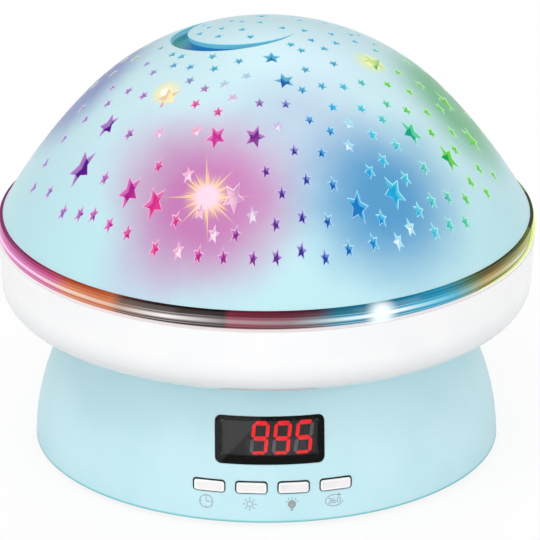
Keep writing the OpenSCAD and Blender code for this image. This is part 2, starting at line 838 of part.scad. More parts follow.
module power_inlet() {
  tongue_w = inlet_w - 2 * tongue_gap;
  back = 1;
  color(steel) {
    difference() {
      y_prism(round_rect(inlet_w, inlet_h, 2 * inlet_t), 0, inlet_z, inlet_y0, inlet_y1);
      y_prism(
        round_rect(inlet_w - 2 * inlet_t, inlet_h - 2 * inlet_t, inlet_t),
        0, inlet_z, inlet_y0 + back, inlet_y1 + cut
      );
    }
    block(
      -tongue_w / 2, tongue_w / 2, inlet_y0 + back / 2, inlet_y1 - inlet_set,
      inlet_z - tongue_t / 4, inlet_z + tongue_t * 3 / 4
    );
  }
}

// ---------------------------------------------------------------- collar and light ring

corner_x = collar_r - collar_taper - collar_corner;
function collar_wall_r(z) = collar_r - collar_taper * (collar_top - z) / (collar_h - collar_corner) - wall;
ring_inner_r = collar_r - ring_w;
ring_board_z = collar_top - ring_spigot - chip_gap - chip_h - small_board_t;
ring_board_r = collar_wall_r(ring_board_z) - plate_gap;
rib_r = ring_board_r - ring_board_w + rib_inset;
collar_boss_top = collar_floor + boss_depth;

module collar() {
  color(cloud_white) difference() {
    union() {
      rotate_extrude($fn = 120) {
        translate([post_r, base_top]) square([corner_x - post_r, wall]);
        intersection() {
          translate([corner_x, base_top + collar_corner]) difference() {
            circle(collar_corner);
            circle(collar_corner - wall);
          }
          translate([corner_x, base_top]) square([collar_corner, collar_corner]);
        }
        polygon([
          [corner_x + collar_corner - wall, base_top + collar_corner],
          [corner_x + collar_corner, base_top + collar_corner],
          [collar_r, collar_top], [collar_r - wall, collar_top]
        ]);
        translate([rib_r, base_top + wall / 2]) square([rib_t, ring_board_z - base_top - wall / 2]);
      }
      for (d = collar_screw_dirs) at(d, collar_screw_circle)
        disc(boss_r, base_top + wall / 2, collar_boss_top);
    }
    translate([0, shaft_y, 0]) disc(shaft_r + shaft_gap, base_top - cut, collar_floor + cut);
    for (d = collar_screw_dirs) at(d, collar_screw_circle)
      disc(screw_r + thread_gap, base_top - cut, collar_boss_top - boss_cap);
  }
}

module collar_screws() {
  color(steel) for (d = collar_screw_dirs) at(d, collar_screw_circle)
    screw(
      screw_r, screw_head_r, screw_head_h, deck_z - screw_head_h,
      collar_boss_top - boss_cap - screw_end
    );
}

module ring_board() {
  color(board_green)
    tube(ring_board_r, ring_board_r - ring_board_w, ring_board_z, ring_board_z + small_board_t);
}

module ring_lamps() {
  chip_z = ring_board_z + small_board_t;
  color("white") for (i = [0:chip_count - 1]) at(360 / chip_count * i, ring_inner_r - chip_inset)
    block(-chip_w / 2, chip_w / 2, -chip_l / 2, chip_l / 2, chip_z, chip_z + chip_h);
}

module light_ring() {
  color("#C9D6DE") rotate_extrude($fn = 120) {
    intersection() {
      translate([collar_r + ring_proud - ring_bulge, collar_top + ring_h * ring_crest]) circle(ring_bulge);
      translate([ring_inner_r, collar_top]) square([collar_r, ring_h]);
    }
    translate([ring_inner_r, collar_top - ring_spigot])
      square([collar_r - wall - plate_gap - ring_inner_r, ring_spigot + cut / 2]);
  }
}

// ---------------------------------------------------------------- lamp post and lamps

hub_bore_r = post_r + bore_gap;
hub_r = hub_bore_r + hub_wall;
post_flange_top = collar_floor + post_flange_t;
hub_z = post_flange_top + washer_t;
disc_z = collar_top + disc_lift;
disc_top = disc_z + disc_t;
hub_top = disc_top + hub_proud;
post_top = hub_top + lamp_board_gap;
lamp_board_top = post_top + small_board_t;
lamp_screw_circle = post_r - post_wall / 2;

module lamp_post() {
  color(cloud_white) difference() {
    union() {
      disc(spigot_r, deck_z, collar_floor + cut / 2);
      disc(post_flange_r, collar_floor, post_flange_top);
      disc(post_r, collar_floor, post_top);
    }
    disc(post_r - post_wall, deck_z - cut, post_top + cut);
    for (a = [0, 180]) at(a, lamp_screw_circle)
      disc(lamp_screw_r + thread_gap, post_top - lamp_screw_depth, post_top + cut);
  }
}

module lamp_board() {
  color("#EDEFF0") difference() {
    disc(lamp_board_r, post_top, lamp_board_top);
    for (a = [0, 180]) at(a, lamp_screw_circle)
      disc(lamp_screw_r + thread_gap, post_top - cut, lamp_board_top + cut);
  }
}

module lamp_board_screws() {
  color(steel) for (a = [0, 180]) at(a, lamp_screw_circle) {
    disc(2 * lamp_screw_r, lamp_board_top, lamp_board_top + lamp_screw_head_h);
    disc(lamp_screw_r, post_top - lamp_screw_depth + screw_end, lamp_board_top + lamp_screw_head_h / 2);
  }
}

// A round-topped lamp with its rim, on the lamp board
module lamp(k) {
  at(45 + 90 * k, lamp_circle) {
    disc(lamp_r + lamp_rim, lamp_board_top, lamp_board_top + lamp_rim_h);
    disc(lamp_r, lamp_board_top, lamp_board_top + lamp_h);
    translate([0, 0, lamp_board_top + lamp_h]) sphere(lamp_r);
  }
}

module lamp_warm() {
  color("#FFE9B0") lamp(0);
}

module lamp_red() {
  color("#F03A4A") lamp(1);
}

module lamp_green() {
  color("#3CC46A") lamp(2);
}

module lamp_blue() {
  color("#3C7FE8") lamp(3);
}

// ---------------------------------------------------------------- drive

pressure = 25;
gear_z = hub_z + gear_lift;
pinion_z = gear_z - pinion_over;
pinion_w = gear_w + 2 * pinion_over;

// Outline of an involute gear with a tooth in the direction a
function involute(angle) = tan(angle) * 180 / PI - angle;
function gear_points(teeth, a, steps = 4) =
  let (
    pitch_r = gear_m * teeth / 2, foot = pitch_r * cos(pressure), root = pitch_r - 1.25 * gear_m,
    tip = pitch_r + gear_m, low = max(foot, root),
    half = 90 / teeth - backlash / 4 / pitch_r * 180 / PI
  )
  [
    for (t = [0:teeth - 1])
      let (
        dir = a + 360 * t / teeth,
        flank = [
          for (i = [0:steps])
            let (r = low + (tip - low) * i / steps)
              [r, half + involute(pressure) - involute(acos(min(1, foot / r)))]
        ]
      )
      each concat(
        root < low ? [[root, dir - flank[0][1]]] : [],
        [for (p = flank) [p[0], dir - p[1]]],
        [for (i = [steps:-1:0]) [flank[i][0], dir + flank[i][1]]],
        root < low ? [[root, dir + flank[0][1]]] : []
      )
  ];
function polar(points) = [for (p = points) [p[0] * cos(p[1]), p[0] * sin(p[1])]];

module spur_gear() {
  color("#E9E4D2") translate([0, 0, gear_z]) difference() {
    linear_extrude(gear_w) polygon(polar(gear_points(gear_teeth, 90)));
    translate([0, 0, -cut]) cylinder(r = hub_r + thread_gap, h = gear_w + 2 * cut);
  }
}

module drive_pinion() {
  color("#E9E4D2") translate([0, shaft_y, pinion_z]) difference() {
    linear_extrude(pinion_w) polygon(polar(gear_points(pinion_teeth, 270 + 180 / pinion_teeth)));
    translate([0, 0, -cut]) cylinder(r = shaft_r + thread_gap / 2, h = pinion_w + 2 * cut);
  }
}

motor_z = deck_z - motor_h;
motor_boss_top = deck_z + motor_boss_h;

module gear_motor() {
  color("#C3C7CC") difference() {
    union() {
      translate([0, can_y, 0]) {
        disc(motor_r, motor_z, deck_z);
        block(-ear_pitch / 2, ear_pitch / 2, -ear_r, ear_r, deck_z - ear_t, deck_z);
        block(-outlet_w / 2, outlet_w / 2, -motor_r - outlet_d, 0, motor_z, deck_z - outlet_drop);
        for (s = [-1, 1]) translate([s * ear_pitch / 2, 0, 0]) disc(ear_r, deck_z - ear_t, deck_z);
      }
      translate([0, shaft_y, 0]) disc(motor_boss_r, deck_z - cut, motor_boss_top);
    }
    translate([0, shaft_y, 0]) disc(shaft_r + bore_gap, deck_z - bearing_depth, motor_boss_top + cut);
    for (s = [-1, 1]) translate([s * ear_pitch / 2, can_y, 0])
      disc(motor_screw_r + seat_gap, deck_z - ear_t - cut, deck_z + cut);
  }
}

module motor_screws() {
  color(steel) for (s = [-1, 1]) translate([s * ear_pitch / 2, can_y, 0])
    screw(
      motor_screw_r, motor_screw_head_r, motor_screw_head_h,
      deck_z - ear_t - motor_screw_head_h, base_top - screw_end
    );
}

module motor_shaft() {
  color(steel) translate([0, shaft_y, 0])
    disc(shaft_r, deck_z - bearing_depth + seat_gap, pinion_z + pinion_w);
}

module thrust_washer() {
  color("#D8D2BE") tube(post_flange_r - washer_inset, hub_bore_r, post_flange_top, hub_z);
}

skirt_r = ring_inner_r - skirt_gap - skirt_t;
ridge_r = skirt_r - ridge_gap;

module turntable() {
  color(cloud_white) {
    tube(hub_r, hub_bore_r, hub_z, hub_top);
    tube(hub_r + hub_shoulder, hub_bore_r, gear_z + gear_w, disc_z + cut / 2);
    tube(ring_inner_r - disc_gap, hub_bore_r, disc_z, disc_top);
    tube(ridge_r, ridge_r - ridge_t, disc_top - cut / 2, disc_top + ridge_h);
  }
}

// ---------------------------------------------------------------- dome

// The crown is a ball; the flank is a flatter arc that meets it without a kink and ends at the rim
rim_r = collar_r - dome_inset;
crown_r = rim_r - crown_inset;
crown_z = dome_top - crown_r;
rim_vec = [rim_r, rim_z - crown_z];
rim_d = norm(rim_vec);
arc_along = (pow(flank_r - crown_r, 2) - pow(flank_r, 2) + rim_d * rim_d) / (2 * rim_d);
arc_across = sqrt(pow(flank_r - crown_r, 2) - arc_along * arc_along);
flank_c = [0, crown_z]
  + arc_along * rim_vec / rim_d
  + arc_across * [rim_vec[1], -rim_vec[0]] / rim_d;
seam_angle = atan2(-flank_c[0], crown_z - flank_c[1]);

// Half section of the solid dome, its surface moved inwards by t and its foot at z0
module dome_section(t, z0) {
  seam_z = crown_z + (crown_r - t) * cos(seam_angle);
  intersection() {
    translate([0, crown_z]) circle(crown_r - t, $fn = 180);
    translate([0, seam_z]) square(2 * crown_r);
  }
  intersection() {
    translate(flank_c) circle(flank_r - t, $fn = 360);
    translate([0, z0]) square([2 * crown_r, seam_z - z0]);
  }
}

module dome_shell(t_out, t_in, z0) {
  difference() {
    rotate_extrude($fn = 120) dome_section(t_out, z0);
    rotate_extrude($fn = 120) dome_section(t_in, z0 - cut);
  }
}

// Small stars of the front half: [direction from the front in degrees, distance from the middle as
// a share of the rim's radius]
front_stars = [
  [-167, 0.1], [-100.5, 0.093], [-44.5, 0.087], [114.5, 0.067], [-144.5, 0.154], [-111.5, 0.18],
  [-84, 0.181], [38.5, 0.206], [98.5, 0.144], [142.5, 0.211], [-128.5, 0.295], [-103, 0.257],
  [-49, 0.27], [-24, 0.259], [61, 0.245], [80, 0.264], [99.5, 0.248], [132, 0.299], [-97, 0.401],
  [-79, 0.36], [-65.5, 0.383], [-54, 0.355], [-37.5, 0.325], [-24.5, 0.388], [-13.5, 0.337],
  [26.5, 0.315], [49.5, 0.325], [95.5, 0.335], [109.5, 0.339], [-83.5, 0.452], [-71, 0.45], [-45, 0.408],
  [-33.5, 0.424], [-33, 0.493], [-17, 0.444], [-4, 0.459], [8, 0.466], [18, 0.41], [29.5, 0.407],
  [40.5, 0.434], [52, 0.445], [93.5, 0.412], [105, 0.426], [-83, 0.584], [-71, 0.548], [-60.5, 0.53],
  [-21.5, 0.508], [3.5, 0.551], [16.5, 0.534], [23, 0.583], [28.5, 0.501], [31.5, 0.572], [40.5, 0.532],
  [53.5, 0.55], [64.5, 0.498], [71.5, 0.562], [80.5, 0.499], [83, 0.581], [99.5, 0.539], [-74.5, 0.619],
  [-52, 0.653], [-40.5, 0.619], [-27, 0.586], [8.5, 0.633], [17.5, 0.647], [27.5, 0.639], [38, 0.623],
  [44.5, 0.674], [46, 0.589], [60, 0.598], [69, 0.639], [78.5, 0.662], [-88, 0.694], [-78.5, 0.695],
  [-35, 0.709], [-24.5, 0.717], [-1, 0.69], [3.5, 0.748], [11, 0.716], [18.5, 0.736], [31, 0.72],
  [37, 0.701], [41.5, 0.761], [50, 0.753], [62.5, 0.688], [67.5, 0.757], [73, 0.723], [-81.5, 0.77],
  [-81, 0.842], [-51, 0.78], [-24.5, 0.829], [-18.5, 0.801], [-14, 0.851], [-8.5, 0.847], [-4.5, 0.803],
  [1.5, 0.822], [8.5, 0.808], [15, 0.822], [29.5, 0.836], [41, 0.841], [46.5, 0.831], [52.5, 0.839],
  [64.5, 0.838], [72.5, 0.831], [-78, 0.896], [-69, 0.873], [-59, 0.89], [-53, 0.876], [-48.5, 0.865],
  [-42.5, 0.873], [-36.5, 0.879], [-28, 0.898], [-22, 0.896], [-17, 0.898], [-11, 0.898], [-4, 0.897],
  [1.5, 0.895], [7.5, 0.883], [13, 0.901], [19, 0.889], [25.5, 0.884], [32, 0.893], [36.5, 0.871],
  [43, 0.896], [48.5, 0.894], [54, 0.903], [58.5, 0.862], [68.5, 0.88], [78, 0.87]
];
// Large stars: [direction from the front in degrees, distance from the middle as a share of the
// rim's radius, radius as a multiple of a small star's]
big_stars = [
  [-62, 0.784, 2.83], [-64, 0.661, 2.17], [-48, 0.498, 2.42], [-40.7, 0.788, 2.25], [-32, 0.799, 2.17],
  [-19, 0.596, 2.08], [-10, 0.76, 2], [-5, 0.586, 2.08], [4, 0.227, 1.83], [10, 0.359, 2],
  [24, 0.799, 2.08], [36, 0.784, 2.17], [54, 0.658, 2.17], [62, 0.762, 2.08], [76, 0.414, 2.83],
  [81, 0.777, 2.08], [87, 0.674, 2.08]
];
moon_inner_r = moon_r + (moon_reach - moon_w) / 2;
moon_shift = (moon_reach + moon_w) / 2;
moon_c = rim_r * [-0.113, 0.0925];
moon_dir = 10;
moon_inner_c = moon_c + moon_shift * [cos(moon_dir), sin(moon_dir)];
// How far the crescent's tips lie from the middle of its outer edge, along its opening's direction
moon_tip = (pow(moon_shift, 2) + pow(moon_r, 2) - pow(moon_inner_r, 2)) / (2 * moon_shift);

// Plan place of a point at a direction from the front and a share of the rim's radius
function plan(dir, share) = rim_r * share * [sin(dir), -cos(dir)];
// Whether a star is clear of the crescent: outside it, inside its disc or past its tips
function clear_of_moon(p, r) =
  norm(p - moon_c) > moon_r + r + star_web || norm(p - moon_inner_c) < moon_inner_r - r - star_web
  || (p - moon_c) * [cos(moon_dir), sin(moon_dir)] > moon_tip + r + star_web;
// The back carries the same large stars, turned half round, where the moon leaves room
side_dir = 75;
all_big = concat(big_stars, [
  for (s = big_stars)
    if (abs(s[0]) < side_dir && clear_of_moon(plan(s[0] + 180, s[1]), s[2] * star_r)) [s[0] + 180, s[1], s[2]]
]);
function clear_of_big(p) =
  min([for (s = all_big) norm(p - plan(s[0], s[1])) - s[2] * star_r]) > star_r + star_web;
// The small stars stand again at the back, turned half round, where there is room between them
front_places = [for (s = front_stars) plan(s[0], s[1])];
small_places = concat(front_places, [
  for (p = front_places) if (min([for (q = front_places) norm(p + q)]) > 2 * star_r + star_web) -p
]);
// Small stars: [plan place, turn]; one point of each looks about up to the top
star_sway = 40;
small_stars = [
  for (i = [0:len(small_places) - 1])
    let (p = small_places[i], turn = atan2(-p[1], -p[0]) + star_sway * (scatter(i + 25) - 0.5))
      if (clear_of_big(p) && clear_of_moon(p, star_r)) [p, turn]
];

// All holes run straight up, the way that the dome leaves its mould
module star_holes() {
  z0 = flange_top + cut;
  for (s = small_stars)
    translate([s[0][0], s[0][1], z0]) linear_extrude(dome_h) polygon(star_points(star_r, s[1]));
  for (i = [0:len(all_big) - 1]) {
    s = all_big[i];
    p = plan(s[0], s[1]);
    translate([p[0], p[1], z0])
      linear_extrude(dome_h) polygon(star_points(s[2] * star_r, 360 * scatter(i + 7)));
  }
}

module moon_hole() {
  translate([0, 0, crown_z]) difference() {
    translate([moon_c[0], moon_c[1], 0]) cylinder(r = moon_r, h = crown_r + cut);
    translate([moon_inner_c[0], moon_inner_c[1], -cut]) cylinder(r = moon_inner_r, h = crown_r + 3 * cut);
  }
}

module dome_cover() {
  color(pale_blue) difference() {
    union() {
      dome_shell(0, dome_wall, rim_z);
      tube(skirt_r + skirt_t, skirt_r, disc_top, flange_top);
      intersection() {
        rotate_extrude($fn = 120) dome_section(0, rim_z);
        tube(rim_r + cut, skirt_r, rim_z, flange_top);
      }
    }
    star_holes();
    moon_hole();
  }
}

module inner_dome() {
  color("#7FA8E0") dome_shell(dome_wall + liner_gap, dome_wall + liner_gap + liner_wall, flange_top);
}

base_housing();
base_plate();
rubber_feet();
plate_screws();
battery_tray();
battery_cells();
contact_plates();
contact_springs();
battery_door();
display_window();
display_block();
lit_bars();
dark_bars();
key_timer();
key_brightness();
key_lamps();
key_rotation();
key_switches();
main_board();
inlet_board();
power_inlet();
collar();
collar_screws();
ring_board();
ring_lamps();
light_ring();
lamp_post();
lamp_board();
lamp_board_screws();
lamp_warm();
lamp_red();
lamp_green();
lamp_blue();
gear_motor();
motor_screws();
motor_shaft();
drive_pinion();
thrust_washer();
spur_gear();
turntable();
dome_cover();
inner_dome();
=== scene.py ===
"""Looks of a star night light projector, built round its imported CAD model.

Metres, in the CAD frame: the origin is on the table under the middle of the base, the keys face -Y.
Sizes of the pieces are kept in millimetres in the classes and turned to metres by MM.
"""

import logging
import math
from collections.abc import Sequence
from dataclasses import dataclass, field
from enum import Enum

import bmesh
import bpy
import numpy as np
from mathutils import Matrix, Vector
from mathutils.geometry import delaunay_2d_cdt


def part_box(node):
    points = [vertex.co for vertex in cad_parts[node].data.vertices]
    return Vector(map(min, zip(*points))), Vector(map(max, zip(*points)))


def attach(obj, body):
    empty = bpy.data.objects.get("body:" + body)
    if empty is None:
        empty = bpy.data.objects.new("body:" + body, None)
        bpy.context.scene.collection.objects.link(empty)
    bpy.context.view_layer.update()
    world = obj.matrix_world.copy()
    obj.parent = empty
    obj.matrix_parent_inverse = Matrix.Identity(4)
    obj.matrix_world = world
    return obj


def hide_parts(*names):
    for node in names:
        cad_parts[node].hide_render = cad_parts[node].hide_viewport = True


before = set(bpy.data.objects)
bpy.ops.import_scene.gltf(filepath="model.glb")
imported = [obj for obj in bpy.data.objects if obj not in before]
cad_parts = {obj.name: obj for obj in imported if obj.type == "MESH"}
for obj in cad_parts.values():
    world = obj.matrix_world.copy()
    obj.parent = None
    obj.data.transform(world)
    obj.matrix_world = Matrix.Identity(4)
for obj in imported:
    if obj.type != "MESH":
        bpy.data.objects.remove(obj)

log = logging.getLogger("night_light")

MM = 0.001
WELD = 2e-6

# A linear colour, the stops of a ramp, and the parts of a node tree and a mesh
Colour = tuple[float, float, float, float]
Stops = Sequence[tuple[float, str]]
Pair = tuple[float, float]
Point = tuple[float, float, float]
Tree = bpy.types.NodeTree
Node = bpy.types.Node
Socket = bpy.types.NodeSocket
Material = bpy.types.Material
Mesh = bpy.types.Mesh
Shape = bmesh.types.BMesh
Corner = bmesh.types.BMVert
Values = dict[str, "Value"]


class Body(Enum):
    """The rigid bodies that the pieces ride on."""

    BASE = "base"
    DOME = "dome"
    TIMER_KEY = "timer_key"
    BRIGHTNESS_KEY = "brightness_key"
    LAMPS_KEY = "lamps_key"
    ROTATION_KEY = "rotation_key"


class Slot(Enum):
    """The record's material slots."""

    BLUE_SHELL = "blue_shell"
    DOME_SHELL = "dome_shell"
    INNER_DOME = "inner_dome"
    WHITE_GLOSS = "white_gloss"
    WHITE_KEY = "white_key"
    CLEAR_RING = "clear_ring"
    SMOKE_WINDOW = "smoke_window"
    BLACK_BODY = "black_body"
    LIT_BAR = "lit_bar"
    DARK_BAR = "dark_bar"
    CIRCUIT_BOARD = "circuit_board"
    LAMP_BOARD = "lamp_board"
    RING_LAMP = "ring_lamp"
    STEEL = "steel"
    MOTOR_CAN = "motor_can"
    CELL_WRAP = "cell_wrap"
    TRAY = "tray"
    NYLON = "nylon"
    RUBBER = "rubber"
    LAMP_WARM = "lamp_warm"
    LAMP_RED = "lamp_red"
    LAMP_GREEN = "lamp_green"
    LAMP_BLUE = "lamp_blue"


class Skin(Enum):
    """What a face of the pierced dome belongs to."""

    OUTER = 0
    EDGE = 1
    WALL = 2
    DEEP = 3
    INNER = 4
    RIM = 5


# ---------------------------------------------------------------- small helpers


def linear(code: str) -> Colour:
    """Turns an sRGB hex value to a linear colour.

    Args:
        code: The colour as "#RRGGBB".

    Returns:
        The linear red, green, blue and an alpha of 1.
    """
    channels = [int(code[i : i + 2], 16) / 255 for i in (1, 3, 5)]
    red, green, blue = (
        c / 12.92 if c <= 0.04045 else ((c + 0.055) / 1.055) ** 2.4 for c in channels
    )
    return red, green, blue, 1.0


BLACK = linear("#000000")
WHITE = linear("#FFFFFF")
# Part of a noise's values over which a stain fades in, and over which a grain is rougher
STAIN_SPAN = (0.3, 0.8)
GRAIN_SPAN = (0.2, 0.8)
# Finer layers of a noise that shows its details
FINE = 3.0


def empty_tree(owner: Material | bpy.types.World) -> Tree:
    """Turns on a material's or the world's nodes and clears them."""
    owner.use_nodes = True
    owner.node_tree.nodes.clear()
    return owner.node_tree


@dataclass(frozen=True)
class Value:
    """An output in a node tree, with the methods that add the next step to it."""

    tree: Tree
    socket: Socket

    def math(self, operation: str, *others: object) -> "Value":
        """Adds one math step: this value, then the others, in the operation's order."""
        sockets = dict(enumerate((self, *others)))
        return step(self.tree, "ShaderNodeMath", sockets, operation=operation)

    def __add__(self, other: object) -> "Value":
        """Adds a number or value."""
        return self.math("ADD", other)

    def __sub__(self, other: object) -> "Value":
        """Takes a number or value away."""
        return self.math("SUBTRACT", other)

    def __mul__(self, other: object) -> "Value":
        """Multiplies by a number or value."""
        return self.math("MULTIPLY", other)

    def __truediv__(self, other: object) -> "Value":
        """Divides by a number or value."""
        return self.math("DIVIDE", other)

    def __abs__(self) -> "Value":
        """Drops the sign."""
        return self.math("ABSOLUTE")

    def vector(self, operation: str, other: object = None) -> "Value":
        """Adds one vector step.

        Args:
            operation: The vector operation's name.
            other: A place or value, or the factor of a scaling.

        Returns:
            The number of a distance, length or dot product, and else the vector.
        """
        sockets = {0: self}
        if other is not None:
            sockets["Scale" if operation == "SCALE" else 1] = other
        number = operation in ("DISTANCE", "DOT_PRODUCT", "LENGTH")
        output = "Value" if number else "Vector"
        return step(self.tree, "ShaderNodeVectorMath", sockets, output, operation=operation)

    def fade(self, start: float, end: float, low: float = 0, high: float = 1) -> "Value":
        """Maps this value smoothly from one range to another, and clamps it.

        Args:
            start: Value that gives low.
            end: Value that gives high.
            low: Result at start.
            high: Result at end.

        Returns:
            The result.
        """
        sockets = {
            "Value": self, "From Min": start, "From Max": end, "To Min": low, "To Max": high,
        }
        return step(
            self.tree, "ShaderNodeMapRange", sockets, "Result", interpolation_type="SMOOTHSTEP"
        )

    def ramp(self, stops: Stops) -> "Value":
        """Turns this factor into a colour along a row of stops.

        Args:
            stops: Place and hex colour of each stop, in order.

        Returns:
            The colour.
        """
        node = add_node(self.tree, "ShaderNodeValToRGB", {0: self})
        elements = node.color_ramp.elements
        while len(elements) > 1:
            elements.remove(elements[-1])
        elements[0].position, elements[0].color = stops[0][0], linear(stops[0][1])
        for place, code in stops[1:]:
            elements.new(place).color = linear(code)
        return Value(self.tree, node.outputs["Color"])

    def noise(self, size_mm: float, detail: float = 2.0) -> "Value":
        """Gives a noise of a real size over this place in millimetres.

        Args:
            size_mm: Size of a patch.
            detail: Number of finer layers.

        Returns:
            The noise, from 0 to 1.
        """
        sockets = {"Vector": self, "Scale": 1 / size_mm, "Detail": detail}
        return step(self.tree, "ShaderNodeTexNoise", sockets)

    def stain(self, size_mm: float, share: float) -> "Value":
        """Gives soft patches of a real size over this place, that reach up to a share of 1."""
        return self.noise(size_mm).fade(*STAIN_SPAN, 0.0, share)

    def relief(self, depth_mm: float, strength: float, **sockets: "Value") -> "Value":
        """Gives the normal of a surface with this height as a fine relief.

        Args:
            depth_mm: The relief's depth.
            strength: How strongly it shows.
            **sockets: More inputs of the bump, such as the normal that it starts from.

        Returns:
            The normal.
        """
        values = {"Strength": strength, "Distance": depth_mm * MM, "Height": self, **sockets}
        return step(self.tree, "ShaderNodeBump", values)


def add_node(
    tree: Tree, kind: str, sockets: dict[str | int, object] | None = None, **settings: object
) -> Node:
    """Adds a node with its settings, socket values and links.

    Args:
        tree: The tree that gets the node.
        kind: The node's type name.
        sockets: Input name or number to a plain value, or to the value that feeds it.
        **settings: Properties of the node itself.

    Returns:
        The new node.
    """
    node = tree.nodes.new(kind)
    for name, value in settings.items():
        setattr(node, name, value)
    for key, value in (sockets or {}).items():
        if isinstance(value, Value):
            tree.links.new(value.socket, node.inputs[key])
        else:
            node.inputs[key].default_value = value
    return node


def step(
    tree: Tree, kind: str, sockets: dict[str | int, object] | None = None,
    output: str | int = 0, **settings: object,
) -> Value:
    """Adds a node, as add_node does, and gives one of its outputs."""
    return Value(tree, add_node(tree, kind, sockets, **settings).outputs[output])


def outputs(tree: Tree, kind: str, sockets: dict[str | int, object] | None = None) -> Values:
    """Adds a node, as add_node does, and gives its outputs by name."""
    node = add_node(tree, kind, sockets)
    return {socket.name: Value(tree, socket) for socket in node.outputs}


def blend(factor: object, first: object, second: object, blend_type: str = "MIX") -> Value:
    """Mixes two colours, at least one of which is a value, or by a factor that is one.

    Args:
        factor: Share of the second colour.
        first: First colour or value.
        second: Second colour or value.
        blend_type: How the colours are mixed.

    Returns:
        The mixed colour.
    """
    tree = next(part.tree for part in (factor, first, second) if isinstance(part, Value))
    sockets = {0: factor, 6: first, 7: second}
    return step(tree, "ShaderNodeMix", sockets, 2, data_type="RGBA", blend_type=blend_type)


def mix(factor: Value, first: object, second: object) -> Value:
    """Mixes two numbers, by the share of the second."""
    return step(factor.tree, "ShaderNodeMix", {0: factor, 2: first, 3: second})


def feed(shader: Node, sockets: dict[str, Value]) -> None:
    """Links values to a shader's inputs by name."""
    for name, value in sockets.items():
        value.tree.links.new(value.socket, shader.inputs[name])


def object_axes(tree: Tree) -> tuple[Value, ...]:
    """Gives the object coordinates and their X, Y and Z, in millimetres.

    Args:
        tree: The tree that gets the nodes.

    Returns:
        The place, X, Y and Z.
    """
    place = step(tree, "ShaderNodeTexCoord", output="Object").vector("SCALE", 1 / MM)
    axes = outputs(tree, "ShaderNodeSeparateXYZ", {0: place})
    return place, axes["X"], axes["Y"], axes["Z"]


def direction(x: Value, y: Value) -> Value:
    """Gives the direction round the axis, from 0 to 1: 0.5 at the front, rising towards +X."""
    return x.math("ARCTAN2", y * -1.0) * (0.5 / math.pi) + 0.5


def circle(count: int) -> np.ndarray:
    """Gives evenly spaced points on a circle of radius 1, the first on +X."""
    angles = 2 * math.pi * np.arange(count) / count
    return np.stack([np.cos(angles), np.sin(angles)], axis=1)


def around(radius: float, angles: Sequence[float], z: float) -> list[Point]:
    """Gives places on a circle at a height, by their directions in degrees from +X."""
    turns = [math.radians(angle) for angle in angles]
    return [(radius * math.cos(turn), radius * math.sin(turn), z) for turn in turns]


def compass(stops: Stops) -> Stops:
    """Turns stops given in degrees from the front into stops from 0 to 1."""
    return tuple(((angle + 180) / 360, code) for angle, code in stops)


# ---------------------------------------------------------------- finishes


@dataclass(frozen=True)
class Finish:
    """A surface: one principled shader, dressed by the finish's own nodes."""

    name: str
    roughness: float = 0.4
    ior: float = 1.5
    metallic: float = 0.0
    coat: float = 0.0
    coat_roughness: float = 0.04
    transmission: float = 0.0
    rough_spread: Pair = (1.0, 1.0)

    def material(self) -> Material:
        """Builds the material."""
        material = bpy.data.materials.new(self.name)
        tree = empty_tree(material)
        shader = add_node(
            tree, "ShaderNodeBsdfPrincipled",
            {
                "Roughness": self.roughness, "IOR": self.ior, "Metallic": self.metallic,
                "Coat Weight": self.coat, "Coat Roughness": self.coat_roughness,
                "Transmission Weight": self.transmission,
            },
        )
        add_node(tree, "ShaderNodeOutputMaterial", {"Surface": Value(tree, shader.outputs[0])})
        self.dress(tree, shader)
        return material

    def dress(self, tree: Tree, shader: Node) -> None:
        """Adds the finish's own nodes.

        Args:
            tree: The material's tree.
            shader: Its principled shader.
        """
        raise NotImplementedError

    def rough(self, grain: Value) -> Value:
        """Varies the roughness with a grain, between the two shares of its spread."""
        low, high = (min(1.0, self.roughness * share) for share in self.rough_spread)
        return grain.fade(*GRAIN_SPAN, low, high)


@dataclass(frozen=True)
class MouldedPlastic(Finish):
    """Injection-moulded plastic: one colour with faint flow clouds and a fine eroded grain."""

    rough_spread: Pair = (0.88, 1.15)
    colour: str = "#FFFFFF"
    cloud: str = "#F0F0F0"
    cloud_mm: float = 14.0
    cloud_span: Pair = (0.35, 0.75)
    grain_mm: float = 0.35
    grain_depth_mm: float = 0.006
    grain_strength: float = 0.5
    edge_mm: float = 0.0
    lower: str = ""
    lower_z: Pair = (0.0, 1.0)

    def dress(self, tree: Tree, shader: Node) -> None:
        """Adds clouds, grain, an optional painted shade that darkens the colour towards the bottom,
        and softened edges.
        """
        place, _, _, z = object_axes(tree)
        clouds = place.noise(self.cloud_mm).fade(*self.cloud_span)
        colour = blend(clouds, linear(self.colour), linear(self.cloud))
        # painted shade: the colour turns darker towards the bottom
        if self.lower:
            colour = blend(z.fade(*self.lower_z), linear(self.lower), colour)
        grain = place.noise(self.grain_mm, 1.0)
        start = {}
        if self.edge_mm:
            # softened edges of the moulding, about as round as a mould's corner is
            start["Normal"] = step(
                tree, "ShaderNodeBevel", {"Radius": self.edge_mm * MM}, samples=4
            )
        normal = grain.relief(self.grain_depth_mm, self.grain_strength, **start)
        rough = self.rough(grain)
        feed(shader, {"Base Color": colour, "Roughness": rough, "Normal": normal})


# Patches of light with more reach than this have an uneven edge
WIDE_MM = 9.0


